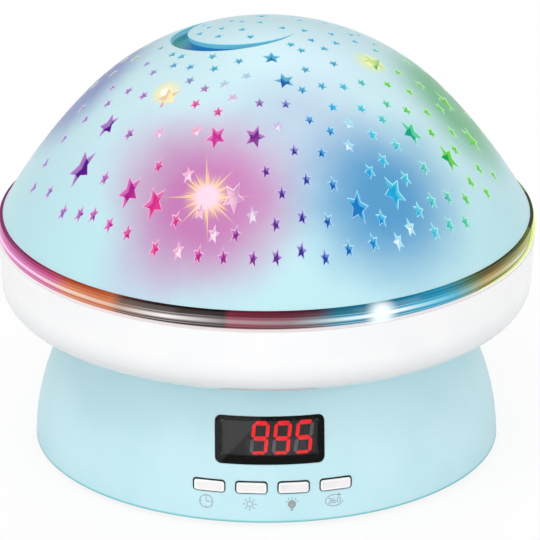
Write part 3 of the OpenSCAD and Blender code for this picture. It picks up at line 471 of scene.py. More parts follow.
@dataclass(frozen=True)
class GlowPatch:
    """A place on the dome where a lamp shines through.

    Attributes:
        middle: Its middle, in millimetres.
        core: Distance up to which it shows at its full strength.
        reach: Distance at which it has faded away.
        colour: Its colour.
        strength: Its share at the middle.
    """

    middle: Point
    core: float
    reach: float
    colour: str
    strength: float

    def share_at(self, place: Value, wobble: Value | None = None) -> Value:
        """Gives how strongly the patch shows at a place.

        Args:
            place: Place in millimetres.
            wobble: Small change of the distance that gives a wide patch an uneven edge.

        Returns:
            The patch's share.
        """
        away = place.vector("DISTANCE", self.middle)
        if wobble is not None and self.reach > WIDE_MM:
            away = away + wobble
        return away.fade(self.reach, self.core, 0.0, self.strength)


# Deep colours that show at the bottom of the holes, by direction in degrees from the front
DEEP_COLOURS = compass([
    (-180, "#2A50A8"), (-135, "#2E8A9C"), (-104, "#6F9A3C"), (-88, "#5E3A86"), (-70, "#54188A"),
    (-54, "#6E2090"), (-42, "#B02890"), (-30, "#DC3484"), (-18, "#BC3090"), (-11, "#962C8E"),
    (-3, "#742A8C"), (4, "#4A2C8C"), (10, "#36348E"), (16, "#1C5AAE"), (24, "#1874BC"),
    (31, "#1C98D4"), (43, "#2AB0D4"), (54, "#1CA698"), (61, "#14A44C"), (90, "#28A048"),
    (130, "#2E8A9C"), (180, "#2A50A8"),
])
# Pale colours of the lit walls of the holes
PALE_COLOURS = compass([
    (-180, "#9CB8EC"), (-135, "#9CD8E0"), (-104, "#C8DC9C"), (-88, "#BDA8E0"), (-70, "#BC98DC"),
    (-54, "#C68CD8"), (-42, "#E884D0"), (-30, "#F27CBC"), (-18, "#EC84CC"), (-11, "#DC8CD0"),
    (-3, "#C090D4"), (4, "#B098DC"), (10, "#A0A8E4"), (16, "#7CC0EC"), (24, "#5CC4F0"),
    (31, "#60D4F4"), (43, "#70E0EC"), (54, "#74E2C4"), (61, "#84E470"), (90, "#94E480"),
    (130, "#9CD8E0"), (180, "#9CB8EC"),
])
TOP_DEEP = "#1E70AC"
TOP_PALE = "#6CC8E2"
TOP_Z = (95.5, 101.0)
# Places on the front half that shine through nearly white, one small star each
SPARKLES = (
    (-8.0, -26.9, 98.1), (-10.0, -22.2, 99.9), (-4.8, -20.8, 101.1), (2.5, -35.0, 93.8),
    (-16.9, -33.3, 92.1), (-25.3, -30.1, 90.5), (-18.9, -41.7, 84.1), (-13.2, -52.6, 73.6),
    (-21.2, -52.9, 69.6), (-3.6, -51.1, 77.5), (19.3, -31.1, 92.7), (18.6, -36.0, 89.4),
    (32.9, -44.7, 71.8), (30.2, -48.4, 69.7),
)
SPARKLE_REACH = (3.9, 3.0)
# Middles of the three bright spots: the burst, the glow at the left and the glow on a large star
BURST = (-14.6, -46.6, 80.6)
LEFT_GLOW = (-24.1, -19.3, 96.5)
STAR_GLOW = (24.6, -7.4, 99.3)


@dataclass(frozen=True)
class GlowingLayer(Finish):
    """Translucent polystyrene lit from within: its own light follows the lamp behind each side."""

    stops: Stops = ()
    top: str = TOP_DEEP
    glow: float = 1.0
    sparkle: float = 0.0
    lighten: float = 0.0
    body: float = 0.3
    cloud_mm: float = 9.0
    cloud_share: float = 0.2
    flares: tuple[GlowPatch, ...] = (
        GlowPatch(BURST, 5.0, 10.0, "#F8D0E4", 0.9),
        GlowPatch(LEFT_GLOW, 2.6, 5.0, "#FFF4C0", 0.9),
        GlowPatch(STAR_GLOW, 3.0, 6.5, "#EEF4A8", 0.85),
    )

    def dress(self, tree: Tree, shader: Node) -> None:
        """Adds the colours round the axis, the cooler top and a few brighter places."""
        place, x, y, z = object_axes(tree)
        colour = direction(x, y).ramp(self.stops)
        colour = blend(z.fade(*TOP_Z), colour, linear(self.top))
        clouds = place.stain(self.cloud_mm, self.cloud_share)
        colour = blend(clouds, colour, WHITE, "SOFT_LIGHT")
        if self.sparkle:
            # the same places stand again at the back, turned half round
            fold = (y * -1.0).math("SIGN")
            turned = step(tree, "ShaderNodeCombineXYZ", {0: fold, 1: fold, 2: 1.0})
            spot = place.vector("MULTIPLY", turned)
            gaps = [spot.vector("DISTANCE", middle) for middle in SPARKLES]
            nearest = gaps[0]
            for gap in gaps[1:]:
                nearest = nearest.math("MINIMUM", gap)
            white = nearest.fade(*SPARKLE_REACH, 0.0, self.sparkle)
            colour = blend(white, colour, WHITE)
        for flare in self.flares:
            colour = blend(flare.share_at(place), colour, linear(flare.colour))
        # painted highlight: the colour is lightened towards white
        if self.lighten:
            colour = blend(self.lighten, colour, WHITE)
        dim = blend(self.body, BLACK, colour)
        feed(shader, {"Emission Color": colour, "Base Color": dim})
        shader.inputs["Emission Strength"].default_value = self.glow


@dataclass(frozen=True)
class LitShell(Finish):
    """Satin pale blue shell that takes on the colour of the lamps behind it, in soft patches."""

    rough_spread: Pair = (0.9, 1.12)
    low: str = "#BAE2E9"
    high: str = "#C6E4EB"
    patches: tuple[GlowPatch, ...] = ()
    cores: tuple[GlowPatch, ...] = ()
    span: Pair = (58.7, 100.0)
    cloud_mm: float = 11.0
    wobble_mm: float = 5.0
    grain_mm: float = 0.35
    grain_depth_mm: float = 0.005
    grain_strength: float = 0.4
    burst_middle: Point = BURST
    burst_axes: tuple[Point, ...] = ((1.0, 0.0, 0.0), (0.0, 0.38, 0.925))
    # each row: rays in half a turn, their turn, their length and half of their width at the middle
    rays: tuple[tuple[float, float, float, float], ...] = (
        (2.0, 0.0, 15.0, 0.4), (2.0, 1.57, 13.0, 0.42), (6.0, 0.5, 9.0, 0.5), (9.0, 1.9, 7.4, 0.5),
    )
    ray_colour: str = "#F2D890"
    ray_share: float = 0.9
    ray_edge_mm: float = 0.25
    core_glow: float = 0.08

    def dress(self, tree: Tree, shader: Node) -> None:
        """Adds the shell's colour, its lit patches, their bright cores and a fine grain."""
        place, _, _, z = object_axes(tree)
        colour = blend(z.fade(*self.span), linear(self.low), linear(self.high))
        clouds = place.noise(self.cloud_mm, FINE)
        wobble = clouds * self.wobble_mm - self.wobble_mm / 2
        for patch in self.patches:
            colour = blend(patch.share_at(place, wobble), colour, linear(patch.colour))
        # painted light: fine golden rays round the brightest lamp
        golden = self.burst(place) * self.ray_share
        colour = blend(golden, colour, linear(self.ray_colour))
        light = BLACK
        for core in self.cores:
            share = core.share_at(place)
            glow = blend(share, BLACK, linear(core.colour))
            light = blend(1.0, light, glow, "LIGHTEN")
            colour = blend(share, colour, linear(core.colour))
        grain = place.noise(self.grain_mm, 1.0)
        feed(shader, {
            "Base Color": colour, "Emission Color": light, "Roughness": self.rough(grain),
            "Normal": grain.relief(self.grain_depth_mm, self.grain_strength),
        })
        shader.inputs["Emission Strength"].default_value = self.core_glow

    def burst(self, place: Value) -> Value:
        """Gives the share of the fine golden rays round the brightest lamp, at a place."""
        away = place.vector("SUBTRACT", self.burst_middle)
        along, up = (away.vector("DOT_PRODUCT", axis) for axis in self.burst_axes)
        angle = up.math("ARCTAN2", along)
        square = up * up + along * along
        reach = square.math("SQRT")
        total = 0.0
        for half_turns, turn, length, width in self.rays:
            wave = (angle * half_turns + turn).math("SINE")
            off_line = abs(wave) * reach
            off_line = off_line / half_turns
            half = reach.fade(0.0, length, width, 0.0)
            share = (half - off_line).fade(0.0, self.ray_edge_mm)
            total = share.math("MAXIMUM", total)
        return total


@dataclass(frozen=True)
class LitAcrylic(Finish):
    """Polished clear acrylic over coloured lamps, painted as glowing in their light, with painted
    highlights and painted shade in streaks that run along the ring.
    """

    foot_z: float = 53.8
    height: float = 4.6
    hues: Stops = ()
    darks: Stops = ()
    gleams: Stops = ()
    upper: Stops = ()
    lower: Stops = ()
    lime: Stops = ()
    sway_mm: float = 26.0
    sway: float = 0.14
    upper_edge: Pair = (0.66, 0.86)
    lower_edge: Pair = (0.42, 0.26)
    lime_colour: str = "#B4CC10"
    lime_soft: float = 0.03
    lime_rim_colour: str = "#2A2C08"
    lime_rim: Pair = (0.05, 0.015)
    lime_start: Pair = (0.05, 0.2)
    foot_colour: str = "#F2E6E8"
    foot_edge: Pair = (0.22, 0.15)
    foot_share: float = 0.85
    flare: Point = (26.0, -59.6, 56.1)
    flare_mm: Pair = (5.0, 0.8)
    flare_colour: str = "#F4FEFF"
    # each row: middle, half width and share of a line of painted highlight or of painted shade, up
    # the ring's face
    bright_lines: tuple[Point, ...] = ((0.54, 0.15, 0.95), (0.75, 0.02, 0.5), (0.30, 0.03, 0.45))
    dark_lines: tuple[Point, ...] = ((0.36, 0.025, 0.75), (0.985, 0.05, 0.9), (0.19, 0.02, 0.6))
    glow: float = 0.78
    dark_share: float = 0.75

    def dress(self, tree: Tree, shader: Node) -> None:
        """Adds the colours round the ring, the painted shade of its dark edges, the painted
        highlight of its bright middle, lines and pale foot.
        """
        place, x, y, z = object_axes(tree)
        round_axis = direction(x, y)
        level = (z - self.foot_z) / self.height
        drift = place.noise(self.sway_mm, 1.0)
        drift = drift * self.sway - self.sway / 2
        flow = level + drift
        colour, dark, painted_highlight_tint = (
            round_axis.ramp(stops) for stops in (self.hues, self.darks, self.gleams)
        )
        upper, lower, climb = (
            step(tree, "ShaderNodeSeparateColor", {0: round_axis.ramp(stops)})
            for stops in (self.upper, self.lower, self.lime)
        )
        # painted shade: the dark edges above and below the middle
        for amount, edge in ((upper, self.upper_edge), (lower, self.lower_edge)):
            share = flow.fade(*edge) * amount
            colour = blend(share, colour, dark)
        # painted highlight and painted shade in thin lines along the ring
        for lines, tint in ((self.bright_lines, painted_highlight_tint), (self.dark_lines, dark)):
            for middle, half, share in lines:
                line = self.line(flow, middle, half, share)
                colour = blend(line, colour, tint)
        # the lime light climbs the ring's face towards the right
        over = flow - climb
        lime = over.fade(self.lime_soft, -self.lime_soft)
        colour = blend(lime, colour, linear(self.lime_colour))
        rim = abs(over).fade(*self.lime_rim)
        rim = rim * climb.fade(*self.lime_start)
        colour = blend(rim, colour, linear(self.lime_rim_colour))
        # the foot sits in the white collar and takes its colour
        foot = level.fade(*self.foot_edge, 0.0, self.foot_share)
        colour = blend(foot, colour, linear(self.foot_colour))
        # painted highlight: a small white glint on the ring
        gap = place.vector("DISTANCE", self.flare)
        colour = blend(gap.fade(*self.flare_mm), colour, linear(self.flare_colour))
        dim = blend(self.dark_share, colour, BLACK)
        feed(shader, {"Base Color": dim, "Emission Color": colour})
        shader.inputs["Emission Strength"].default_value = self.glow

    @staticmethod
    def line(level: Value, middle: float, half: float, share: float) -> Value:
        """Gives a soft line at a level of the ring.

        Args:
            level: Level up the ring's face, from 0 to 1.
            middle: Level of the line's middle.
            half: Half of the line's width.
            share: How strong the line is.

        Returns:
            The line's share.
        """
        away = abs(level - middle)
        return away.fade(half, half * 0.25, 0.0, share)


@dataclass(frozen=True)
class SmokedAcrylic(Finish):
    """Smoked acrylic: a dark, clear sheet with a black printed border and a mirror-like face."""

    colour: str = "#C6C6CA"
    border: str = "#050506"
    border_mm: float = 1.35
    low_border_mm: float = 1.9
    top_border_mm: float = 0.84
    corner: float = 0.5
    soft_mm: float = 0.06

    def dress(self, tree: Tree, shader: Node) -> None:
        """Adds the smoke colour and the border round the window's edge."""
        low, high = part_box("display_window")
        half_w = high.x / MM - self.border_mm
        bottom, top = low.z / MM + self.low_border_mm, high.z / MM - self.top_border_mm
        _, x, _, z = object_axes(tree)
        squares = []
        sides = ((x, 0.0, half_w), (z, (top + bottom) / 2, (top - bottom) / 2))
        for axis, middle, half in sides:
            away = abs(axis - middle)
            past = away - (half - self.corner)
            squares.append(past.math("MAXIMUM", 0.0).math("POWER", 2.0))
        gap = (squares[0] + squares[1]).math("SQRT")
        edge = gap.fade(self.corner - self.soft_mm, self.corner + self.soft_mm)
        colour = blend(edge, linear(self.colour), linear(self.border))
        feed(shader, {"Base Color": colour})


@dataclass(frozen=True)
class LitBar(Finish):
    """Diffused light-emitting segment: an even colour with slightly brighter places."""

    colour: str = "#F20018"
    bright: str = "#FF3A2A"
    cloud_mm: float = 1.2
    cloud_share: float = 0.04
    glow: float = 1.0

    def dress(self, tree: Tree, shader: Node) -> None:
        """Adds the segment's colour and its light."""
        place, *_ = object_axes(tree)
        cloud = place.stain(self.cloud_mm, self.cloud_share)
        colour = blend(cloud, linear(self.colour), linear(self.bright))
        feed(shader, {"Base Color": colour, "Emission Color": colour})
        shader.inputs["Emission Strength"].default_value = self.glow


@dataclass(frozen=True)
class Metal(Finish):
    """Plated or brushed metal: a bare reflection broken by fine scratches along one axis."""

    rough_spread: Pair = (0.7, 1.4)
    colour: str = "#B9BDC2"
    tarnish: str = "#8E949A"
    tarnish_mm: float = 4.0
    tarnish_share: float = 0.3
    scratch_mm: float = 0.15
    scratch_depth_mm: float = 0.004
    scratch_strength: float = 0.3
    stretch: Point = (1.0, 1.0, 12.0)

    def dress(self, tree: Tree, shader: Node) -> None:
        """Adds the colour and the scratches."""
        place, *_ = object_axes(tree)
        lines = place.vector("DIVIDE", self.stretch).noise(self.scratch_mm, FINE)
        dull = place.stain(self.tarnish_mm, self.tarnish_share)
        colour = blend(dull, linear(self.colour), linear(self.tarnish))
        normal = lines.relief(self.scratch_depth_mm, self.scratch_strength)
        rough = self.rough(lines)
        feed(shader, {"Base Color": colour, "Roughness": rough, "Normal": normal})


@dataclass(frozen=True)
class SolderMask(Finish):
    """Circuit board: solder mask over copper tracks, with rows of small tinned pads."""

    mask: str = "#2E6B45"
    track: str = "#3F8A58"
    pad: str = "#D8D2B8"
    cell_mm: float = 4.0
    bands: float = 9.0
    track_edge: Pair = (0.55, 0.7)
    pitch_mm: float = 2.54
    pad_edge: Pair = (0.17, 0.13)
    patch_mm: float = 9.0
    patch_edge: Pair = (0.5, 0.52)
    depth_mm: float = 0.03
    strength: float = 0.5

    def dress(self, tree: Tree, shader: Node) -> None:
        """Adds the tracks, the pads and the slight relief of both."""
        place, *_ = object_axes(tree)
        tracks = step(
            tree, "ShaderNodeTexVoronoi", {"Vector": place, "Scale": 1 / self.cell_mm},
            "Distance", distance="MANHATTAN", feature="F2",
        )
        wave = tracks * self.bands
        lines = wave.math("SINE").fade(*self.track_edge)
        sockets = {"Vector": place, "Scale": 1 / self.pitch_mm, "Randomness": 0.0}
        dots = step(tree, "ShaderNodeTexVoronoi", sockets, "Distance")
        pads = dots.fade(*self.pad_edge)
        chance = place.noise(self.patch_mm).fade(*self.patch_edge)
        pads = pads * chance
        colour = blend(lines, linear(self.mask), linear(self.track))
        colour = blend(pads, colour, linear(self.pad))
        raised = lines + pads
        normal = raised.relief(self.depth_mm, self.strength)
        feed(shader, {"Base Color": colour, "Normal": normal})


@dataclass(frozen=True)
class CellWrap(Finish):
    """Shrunk printed film round a battery cell: plain bands, bare steel at both ends."""

    wrap: str = "#5C7286"
    band: str = "#22262B"
    steel: str = "#B9BDC2"
    half_l: float = 22.0
    band_edge: Pair = (12.8, 13.0)
    bare_edge: Pair = (0.8, 0.6)
    crinkle_mm: float = 1.5
    crinkle_depth_mm: float = 0.02
    crinkle_strength: float = 0.3

    def dress(self, tree: Tree, shader: Node) -> None:
        """Adds the band, the bare ends and a faint crinkle."""
        place, x, *_ = object_axes(tree)
        away = abs(x)
        band = away.fade(*self.band_edge)
        bare = away.fade(*(self.half_l - inset for inset in self.bare_edge))
        colour = blend(band, linear(self.wrap), linear(self.band))
        colour = blend(bare, colour, linear(self.steel))
        crinkle = place.noise(self.crinkle_mm, FINE)
        normal = crinkle.relief(self.crinkle_depth_mm, self.crinkle_strength)
        feed(shader, {"Base Color": colour, "Normal": normal})


@dataclass(frozen=True)
class LampResin(Finish):
    """Tinted epoxy of a through-hole lamp, glowing from its die outwards."""

    colour: str = "#FFE9B0"
    middle: Point = (0.0, 0.0, 61.0)
    core_mm: Pair = (4.5, 1.5)
    cloud_mm: float = 2.0
    cloud_share: float = 0.2
    glow: float = 1.2

    def dress(self, tree: Tree, shader: Node) -> None:
        """Adds the tint and the brighter middle."""
        place, *_ = object_axes(tree)
        core = place.vector("DISTANCE", self.middle).fade(*self.core_mm)
        colour = blend(core, linear(self.colour), WHITE)
        cloud = place.stain(self.cloud_mm, self.cloud_share)
        tint = blend(cloud, linear(self.colour), colour)
        feed(shader, {"Emission Color": colour, "Base Color": tint})
        shader.inputs["Emission Strength"].default_value = self.glow


# Colours round the light ring: its own, the painted shade of its dark edges and the painted
# highlight of its bright middle
RING_HUES = compass([
    (-180, "#3E5FC0"), (-140, "#7A3AB8"), (-100, "#B8208F"), (-70, "#C4409C"), (-52, "#C8508C"),
    (-47, "#CC7048"), (-34.2, "#C46A38"), (-33.4, "#8E6048"), (-24, "#6E6460"), (-9.4, "#5E5456"),
    (-8.8, "#9A4A5C"), (4, "#8E5460"), (10, "#6A7880"), (14, "#2A88A2"), (30, "#2094B8"),
    (40, "#2A9CC0"), (47, "#6A9078"), (52, "#A08038"), (60, "#8E8840"), (74, "#98A020"),
    (84, "#B0C414"), (120, "#4FC070"), (150, "#2FA8A0"), (180, "#3E5FC0"),
])
RING_PAINTED_SHADE = compass([
    (-180, "#1C2A70"), (-100, "#6A0E5A"), (-60, "#86104C"), (-47, "#A03418"), (-34.2, "#A44418"),
    (-33.4, "#4A2214"), (-26, "#2A1810"), (-9.4, "#1C1214"), (-8.8, "#6E1A30"), (4, "#56142A"),
    (10, "#4A1A2C"), (14, "#125A74"), (38, "#107494"), (47, "#3A5A34"), (54, "#4A3A10"),
    (66, "#30340C"), (84, "#5A6A08"), (130, "#0E6A58"), (180, "#1C2A70"),
])
RING_PAINTED_HIGHLIGHTS = compass([
    (-180, "#B8C8F8"), (-100, "#E8A8DC"), (-60, "#E8C0E0"), (-47, "#ECCDB8"), (-34.2, "#DCB8A0"),
    (-33.4, "#B8A8A0"), (-22, "#F6F4F2"), (-12, "#A8A2A2"), (-9.4, "#8C8486"), (-8.8, "#B08890"),
    (4, "#8E8488"), (10, "#A8B8BE"), (16, "#D4ECF2"), (26, "#FFFFFF"), (33, "#A0DCEC"),
    (42, "#48B4D0"), (50, "#A8A070"), (58, "#C0B07C"), (66, "#C8C8B8"), (76, "#B8BCA0"),
    (84, "#D8E878"), (130, "#B8F4E0"), (180, "#B8C8F8"),
])
# How far the painted shade of the dark edge reaches above and below the painted highlight in the
# middle, as a grey level
RING_UPPER_SHADE = compass([
    (-180, "#808080"), (-60, "#808080"), (-47, "#404040"), (-34.2, "#404040"), (-33.4, "#E0E0E0"),
    (-9.4, "#FFFFFF"), (4, "#F0F0F0"), (14, "#D0D0D0"), (40, "#B0B0B0"), (52, "#E0E0E0"),
    (64, "#B0B0B0"), (76, "#404040"), (110, "#404040"), (180, "#808080"),
])
RING_LOWER_SHADE = compass([
    (-180, "#808080"), (-60, "#606060"), (-47, "#404040"), (-38, "#505050"), (-33.4, "#C8C8C8"),
    (-26, "#FFFFFF"), (4, "#FFFFFF"), (14, "#A0A0A0"), (30, "#505050"), (52, "#808080"),
    (80, "#404040"), (180, "#808080"),
])
RING_LIME = compass([
    (-180, "#000000"), (46, "#000000"), (50, "#909090"), (62, "#A0A0A0"), (72, "#BCBCBC"),
    (80, "#FFFFFF"), (100, "#FFFFFF"), (104, "#000000"), (180, "#000000"),
])


# The pale blue ABS of the base, and the middle of the glow in each of the four lamps
BLUE_ABS = {"colour": "#C6E9F1", "cloud": "#C0E6EE", "edge_mm": 0.3}
LAMP_CIRCLE = 8.0
LAMP_Z = 61.0


def make_finishes() -> dict[Slot, Material]:
    """Builds the finish of each of the record's slots.

    Returns:
        Slot to material.
    """
    finishes: dict[Slot, Finish] = {
        # ABS with a fine matt texture: soft, wide highlights
        Slot.BLUE_SHELL: MouldedPlastic("matt_abs_pale_blue", 0.42, **BLUE_ABS),
        # polished ABS: clear reflections on a clean surface, with painted shade that greys it where
        # the collar turns under
        Slot.WHITE_GLOSS: MouldedPlastic(
            "polished_abs_white", 0.22, colour="#F2F2F3", cloud="#EEEFF0", grain_depth_mm=0.001,
            coat=0.6, edge_mm=0.25, lower="#D6D8DA", lower_z=(37.5, 46.0),
        ),
        # ABS key caps, satin from the mould
        Slot.WHITE_KEY: MouldedPlastic(
            "satin_abs_white", 0.35, colour="#F8F8F8", cloud="#F4F4F5", grain_depth_mm=0.002,
        ),
        Slot.CLEAR_RING: LitAcrylic(
            "polished_acrylic_lit", 0.14, 1.49, hues=RING_HUES, darks=RING_PAINTED_SHADE,
            gleams=RING_PAINTED_HIGHLIGHTS, upper=RING_UPPER_SHADE, lower=RING_LOWER_SHADE, lime=RING_LIME,
        ),
        Slot.SMOKE_WINDOW: SmokedAcrylic("smoked_acrylic", 0.03, 1.49, transmission=1.0),
        # matt black ABS body of a display or switch
        Slot.BLACK_BODY: MouldedPlastic(
            "matt_abs_black", 0.6, colour="#17171A", cloud="#121215", grain_depth_mm=0.01,
        ),
        Slot.LIT_BAR: LitBar("diffused_epoxy_lit", 0.5, colour="#F2000A", glow=1.4),
        Slot.DARK_BAR: MouldedPlastic(
            "diffused_epoxy_unlit", 0.45, colour="#9C9CA0", cloud="#ACACB0", cloud_mm=1.5,
            grain_depth_mm=0.002,
        ),
        Slot.CIRCUIT_BOARD: SolderMask("green_solder_mask", 0.35, coat=0.3),
        Slot.LAMP_BOARD: SolderMask(
            "white_solder_mask", 0.35, mask="#EDEFF0", track="#DDE0E2", pad="#D0CCB8", coat=0.3,
        ),
        # silicone-filled lamp package
        Slot.RING_LAMP: LitBar("phosphor_silicone", 0.4, colour="#FFF6DC", glow=1.0),
        Slot.STEEL: Metal("nickel_plated_steel", 0.25, metallic=1.0),
        Slot.MOTOR_CAN: Metal(
            "zinc_plated_can", 0.35, metallic=1.0, colour="#C3C7CC", stretch=(1, 1, 1),
        ),
        Slot.CELL_WRAP: CellWrap("printed_shrink_film", 0.3, metallic=0.35, coat=0.4),
        Slot.TRAY: MouldedPlastic(
            "matt_polypropylene_dark", 0.5, colour="#3A3C40", cloud="#35373B", grain_depth_mm=0.012,
        ),
        # acetal-like nylon: slightly waxy, warm white
        Slot.NYLON: MouldedPlastic(
            "natural_nylon", 0.38, colour="#E9E4D2", cloud="#E2DCC8", grain_depth_mm=0.004,
            edge_mm=0.08,
        ),
        # thermoplastic rubber: dull, no clear reflection
        Slot.RUBBER: MouldedPlastic(
            "grey_rubber", 0.82, colour="#4A4D52", cloud="#44474B", grain_mm=0.5,
            grain_depth_mm=0.03,
        ),
        Slot.INNER_DOME: GlowingLayer(
            "lit_polystyrene_deep", 0.35, stops=DEEP_COLOURS, glow=0.8, sparkle=0.8,
        ),
        Slot.DOME_SHELL: LitShell(
            "satin_abs_lit", 0.36,
            patches=(
                GlowPatch((12.5, -13.3, 102.2), 3.0, 16.0, "#C4DAEC", 0.3),
                GlowPatch((7.1, -36.5, 93.0), 5.0, 25.0, "#B4C6DC", 0.8),
                GlowPatch((-28.0, -34.6, 85.5), 4.0, 18.0, "#C8B6D2", 0.6),
                GlowPatch((-29.0, -52.0, 65.0), 2.0, 17.0, "#BCB8D6", 0.7),
                GlowPatch((-14.6, -47.0, 79.6), 7.0, 28.5, "#BE6CAC", 0.97),
                GlowPatch((27.6, -43.0, 78.2), 4.5, 29.0, "#4894C6", 0.97),
                GlowPatch((45.0, 2.0, 85.0), 8.0, 25.5, "#76BA8C", 0.94),
                GlowPatch((-42.5, 13.0, 86.5), 9.0, 26.0, "#8490C2", 0.97),
            ),
            cores=(
                GlowPatch(BURST, 2.2, 6.4, "#E8B898", 0.7),
                GlowPatch(BURST, 2.0, 4.2, "#ECC8DC", 0.95),
                GlowPatch(LEFT_GLOW, 1.0, 4.8, "#F0E098", 0.85),
                GlowPatch(LEFT_GLOW, 0.4, 2.0, "#FFFFFA", 1.0),
                GlowPatch(STAR_GLOW, 1.8, 5.2, "#D6E494", 0.75),
                GlowPatch(STAR_GLOW, 0.5, 2.4, "#F4F6B8", 0.9),
            ),
        ),
    }
    lamps = (
        (Slot.LAMP_WARM, "warm_epoxy", "#FFD98A"), (Slot.LAMP_RED, "red_epoxy", "#F03A4A"),
        (Slot.LAMP_GREEN, "green_epoxy", "#3CC46A"), (Slot.LAMP_BLUE, "blue_epoxy", "#3C7FE8"),
    )
    middles = around(LAMP_CIRCLE, (45, 135, 225, 315), LAMP_Z)
    for (slot, name, colour), middle in zip(lamps, middles):
        finishes[slot] = LampResin(name, 0.15, colour=colour, middle=middle)
    return {slot: finish.material() for slot, finish in finishes.items()}


# ---------------------------------------------------------------- meshes and pieces


def tag_piece(
    piece: bpy.types.Object, body: Body, replaces: Sequence[str] = ()
) -> bpy.types.Object:
    """Makes a piece ride on its body, and hides the CAD nodes that it stands for.

    Args:
        piece: The finished piece.
        body: The body that it moves with.
        replaces: The CAD nodes that it stands for.

    Returns:
        The piece.
    """
    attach(piece, body.value)
    if replaces:
        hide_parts(*replaces)
    log.info("%s: %d faces on %s", piece.name, len(piece.data.polygons), body.value)
    return piece


def to_object(name: str, mesh: Mesh) -> bpy.types.Object:
    """Links a mesh into the scene as an object at the origin."""
    piece = bpy.data.objects.new(name, mesh)
    bpy.context.scene.collection.objects.link(piece)
    return piece


def from_bmesh(
    name: str, shape: Shape, materials: Sequence[Material] = (), sharp_deg: float = 35.0
) -> Mesh:
    """Turns a bmesh into a clean, smooth-shaded mesh with sharp edges kept.

    Args:
        name: Name of the mesh.
        shape: The shape, which is freed.
        materials: Its materials.
        sharp_deg: Edges that turn by more than this stay sharp.

    Returns:
        The mesh.
    """
    bmesh.ops.remove_doubles(shape, verts=shape.verts, dist=WELD)
    bmesh.ops.recalc_face_normals(shape, faces=shape.faces)
    mesh = bpy.data.meshes.new(name)
    shape.to_mesh(mesh)
    shape.free()
    for material in materials:
        mesh.materials.append(material)
    mesh.polygons.foreach_set("use_smooth", [True] * len(mesh.polygons))
    mesh.set_sharp_from_angle(angle=math.radians(sharp_deg))
    return mesh


def bridge(
    shape: Shape, low: Sequence[Corner], high: Sequence[Corner], material: int = 0
) -> None:
    """Joins two closed rows of corners by a band of faces.

    Args:
        shape: The bmesh that gets the faces.
        low: The first row.
        high: The second row; a corner that stands in both rows' place gives a triangle.
        material: Material index of the faces.
    """
    for k in range(len(low)):
        after = (k + 1) % len(low)
        corners = list(dict.fromkeys((low[k], low[after], high[after], high[k])))
        if len(corners) > 2:
            shape.faces.new(corners).material_index = material


def lathe(shape: Shape, profile: Sequence[Pair], count: int) -> None:
    """Adds a surface of revolution round the Z axis.

    Args:
        shape: The bmesh that gets it.
        profile: Radius and height of each row, in millimetres; a radius of 0 closes the row.
        count: Number of steps round the axis.
    """
    rows: list[list[Corner]] = []
    for radius, z in profile:
        if radius == 0:
            rows.append([shape.verts.new((0, 0, z * MM))] * count)
        else:
            ring = circle(count) * radius * MM
            rows.append([shape.verts.new((x, y, z * MM)) for x, y in ring])
    for low, high in zip(rows, rows[1:]):
        bridge(shape, low, high)


def loft(shape: Shape, rings: Sequence[Sequence[Sequence[float]]], material: int = 0) -> None:
    """Adds a closed solid through rings of points, capped at both ends.

    Args:
        shape: The bmesh that gets it.
        rings: Rings of the same number of points, in millimetres.
        material: Material index of the faces.
    """
    rows = [[shape.verts.new([c * MM for c in point]) for point in ring] for ring in rings]
    for low, high in zip(rows, rows[1:]):
        bridge(shape, low, high, material)
    shape.faces.new(rows[0][::-1]).material_index = material
    shape.faces.new(rows[-1]).material_index = material


def rounded_box(width: float, height: float, corner: float, steps: int = 6) -> np.ndarray:
    """Gives the outline of a rectangle with round corners, centred on the origin.

    Args:
        width: Width in millimetres.
        height: Height in millimetres.
        corner: Radius of the corners.
        steps: Steps in each corner.

    Returns:
        The points, in order round the outline.
    """
    points = []
    for quarter in range(4):
        for i in range(steps + 1):
            angle = math.pi / 2 * (quarter + i / steps)
            side = 1 if quarter in (0, 3) else -1
            rise = 1 if quarter < 2 else -1
            points.append((
                side * (width / 2 - corner) + corner * math.cos(angle),
                rise * (height / 2 - corner) + corner * math.sin(angle),
            ))
    return np.array(points)


def offset_outline(points: np.ndarray, distance: float, limit: float = 2.2) -> np.ndarray:
    """Moves a closed outline outwards by a distance, with its pointed corners kept short.

    Args:
        points: The outline, counter-clockwise.
        distance: How far it moves.
        limit: Longest move of a corner, as a multiple of the distance.

    Returns:
        The moved outline.
    """
    before = points - np.roll(points, 1, axis=0)
    after = np.roll(points, -1, axis=0) - points
    normals = []
    for edge in (before, after):
        unit = edge / np.linalg.norm(edge, axis=1, keepdims=True)
        normals.append(np.stack([unit[:, 1], -unit[:, 0]], axis=1))
    middle = normals[0] + normals[1]
    size = np.linalg.norm(middle, axis=1, keepdims=True)
    middle = middle / np.maximum(size, 1e-9)
    stretch = 1 / np.maximum((middle * normals[0]).sum(1, keepdims=True), 1 / limit)
    return points + middle * distance * stretch


def pierced_sheet(
    rim: np.ndarray, holes: Sequence[np.ndarray], lattice: np.ndarray
) -> tuple[np.ndarray, list[list[int]]]:
    """Triangulates a flat sheet with holes.

    Args:
        rim: The sheet's outline.
        holes: Outlines of its holes.
        lattice: Points inside the sheet that keep its triangles small.

    Returns:
        The points and the triangles.
    """
    points = np.vstack([rim, *holes, lattice])
    loops, start = [], len(rim)
    for hole in holes:
        loops.append(list(range(start, start + len(hole))))
        start += len(hole)
    edges = [(k, (k + 1) % len(rim)) for k in range(len(rim))]
    made = delaunay_2d_cdt([Vector(p) for p in points], edges, loops, 0, 1e-7, True)
    faces = [list(face) for face, source in zip(made[2], made[5]) if not source]
    return np.array([tuple(p) for p in made[0]]), faces


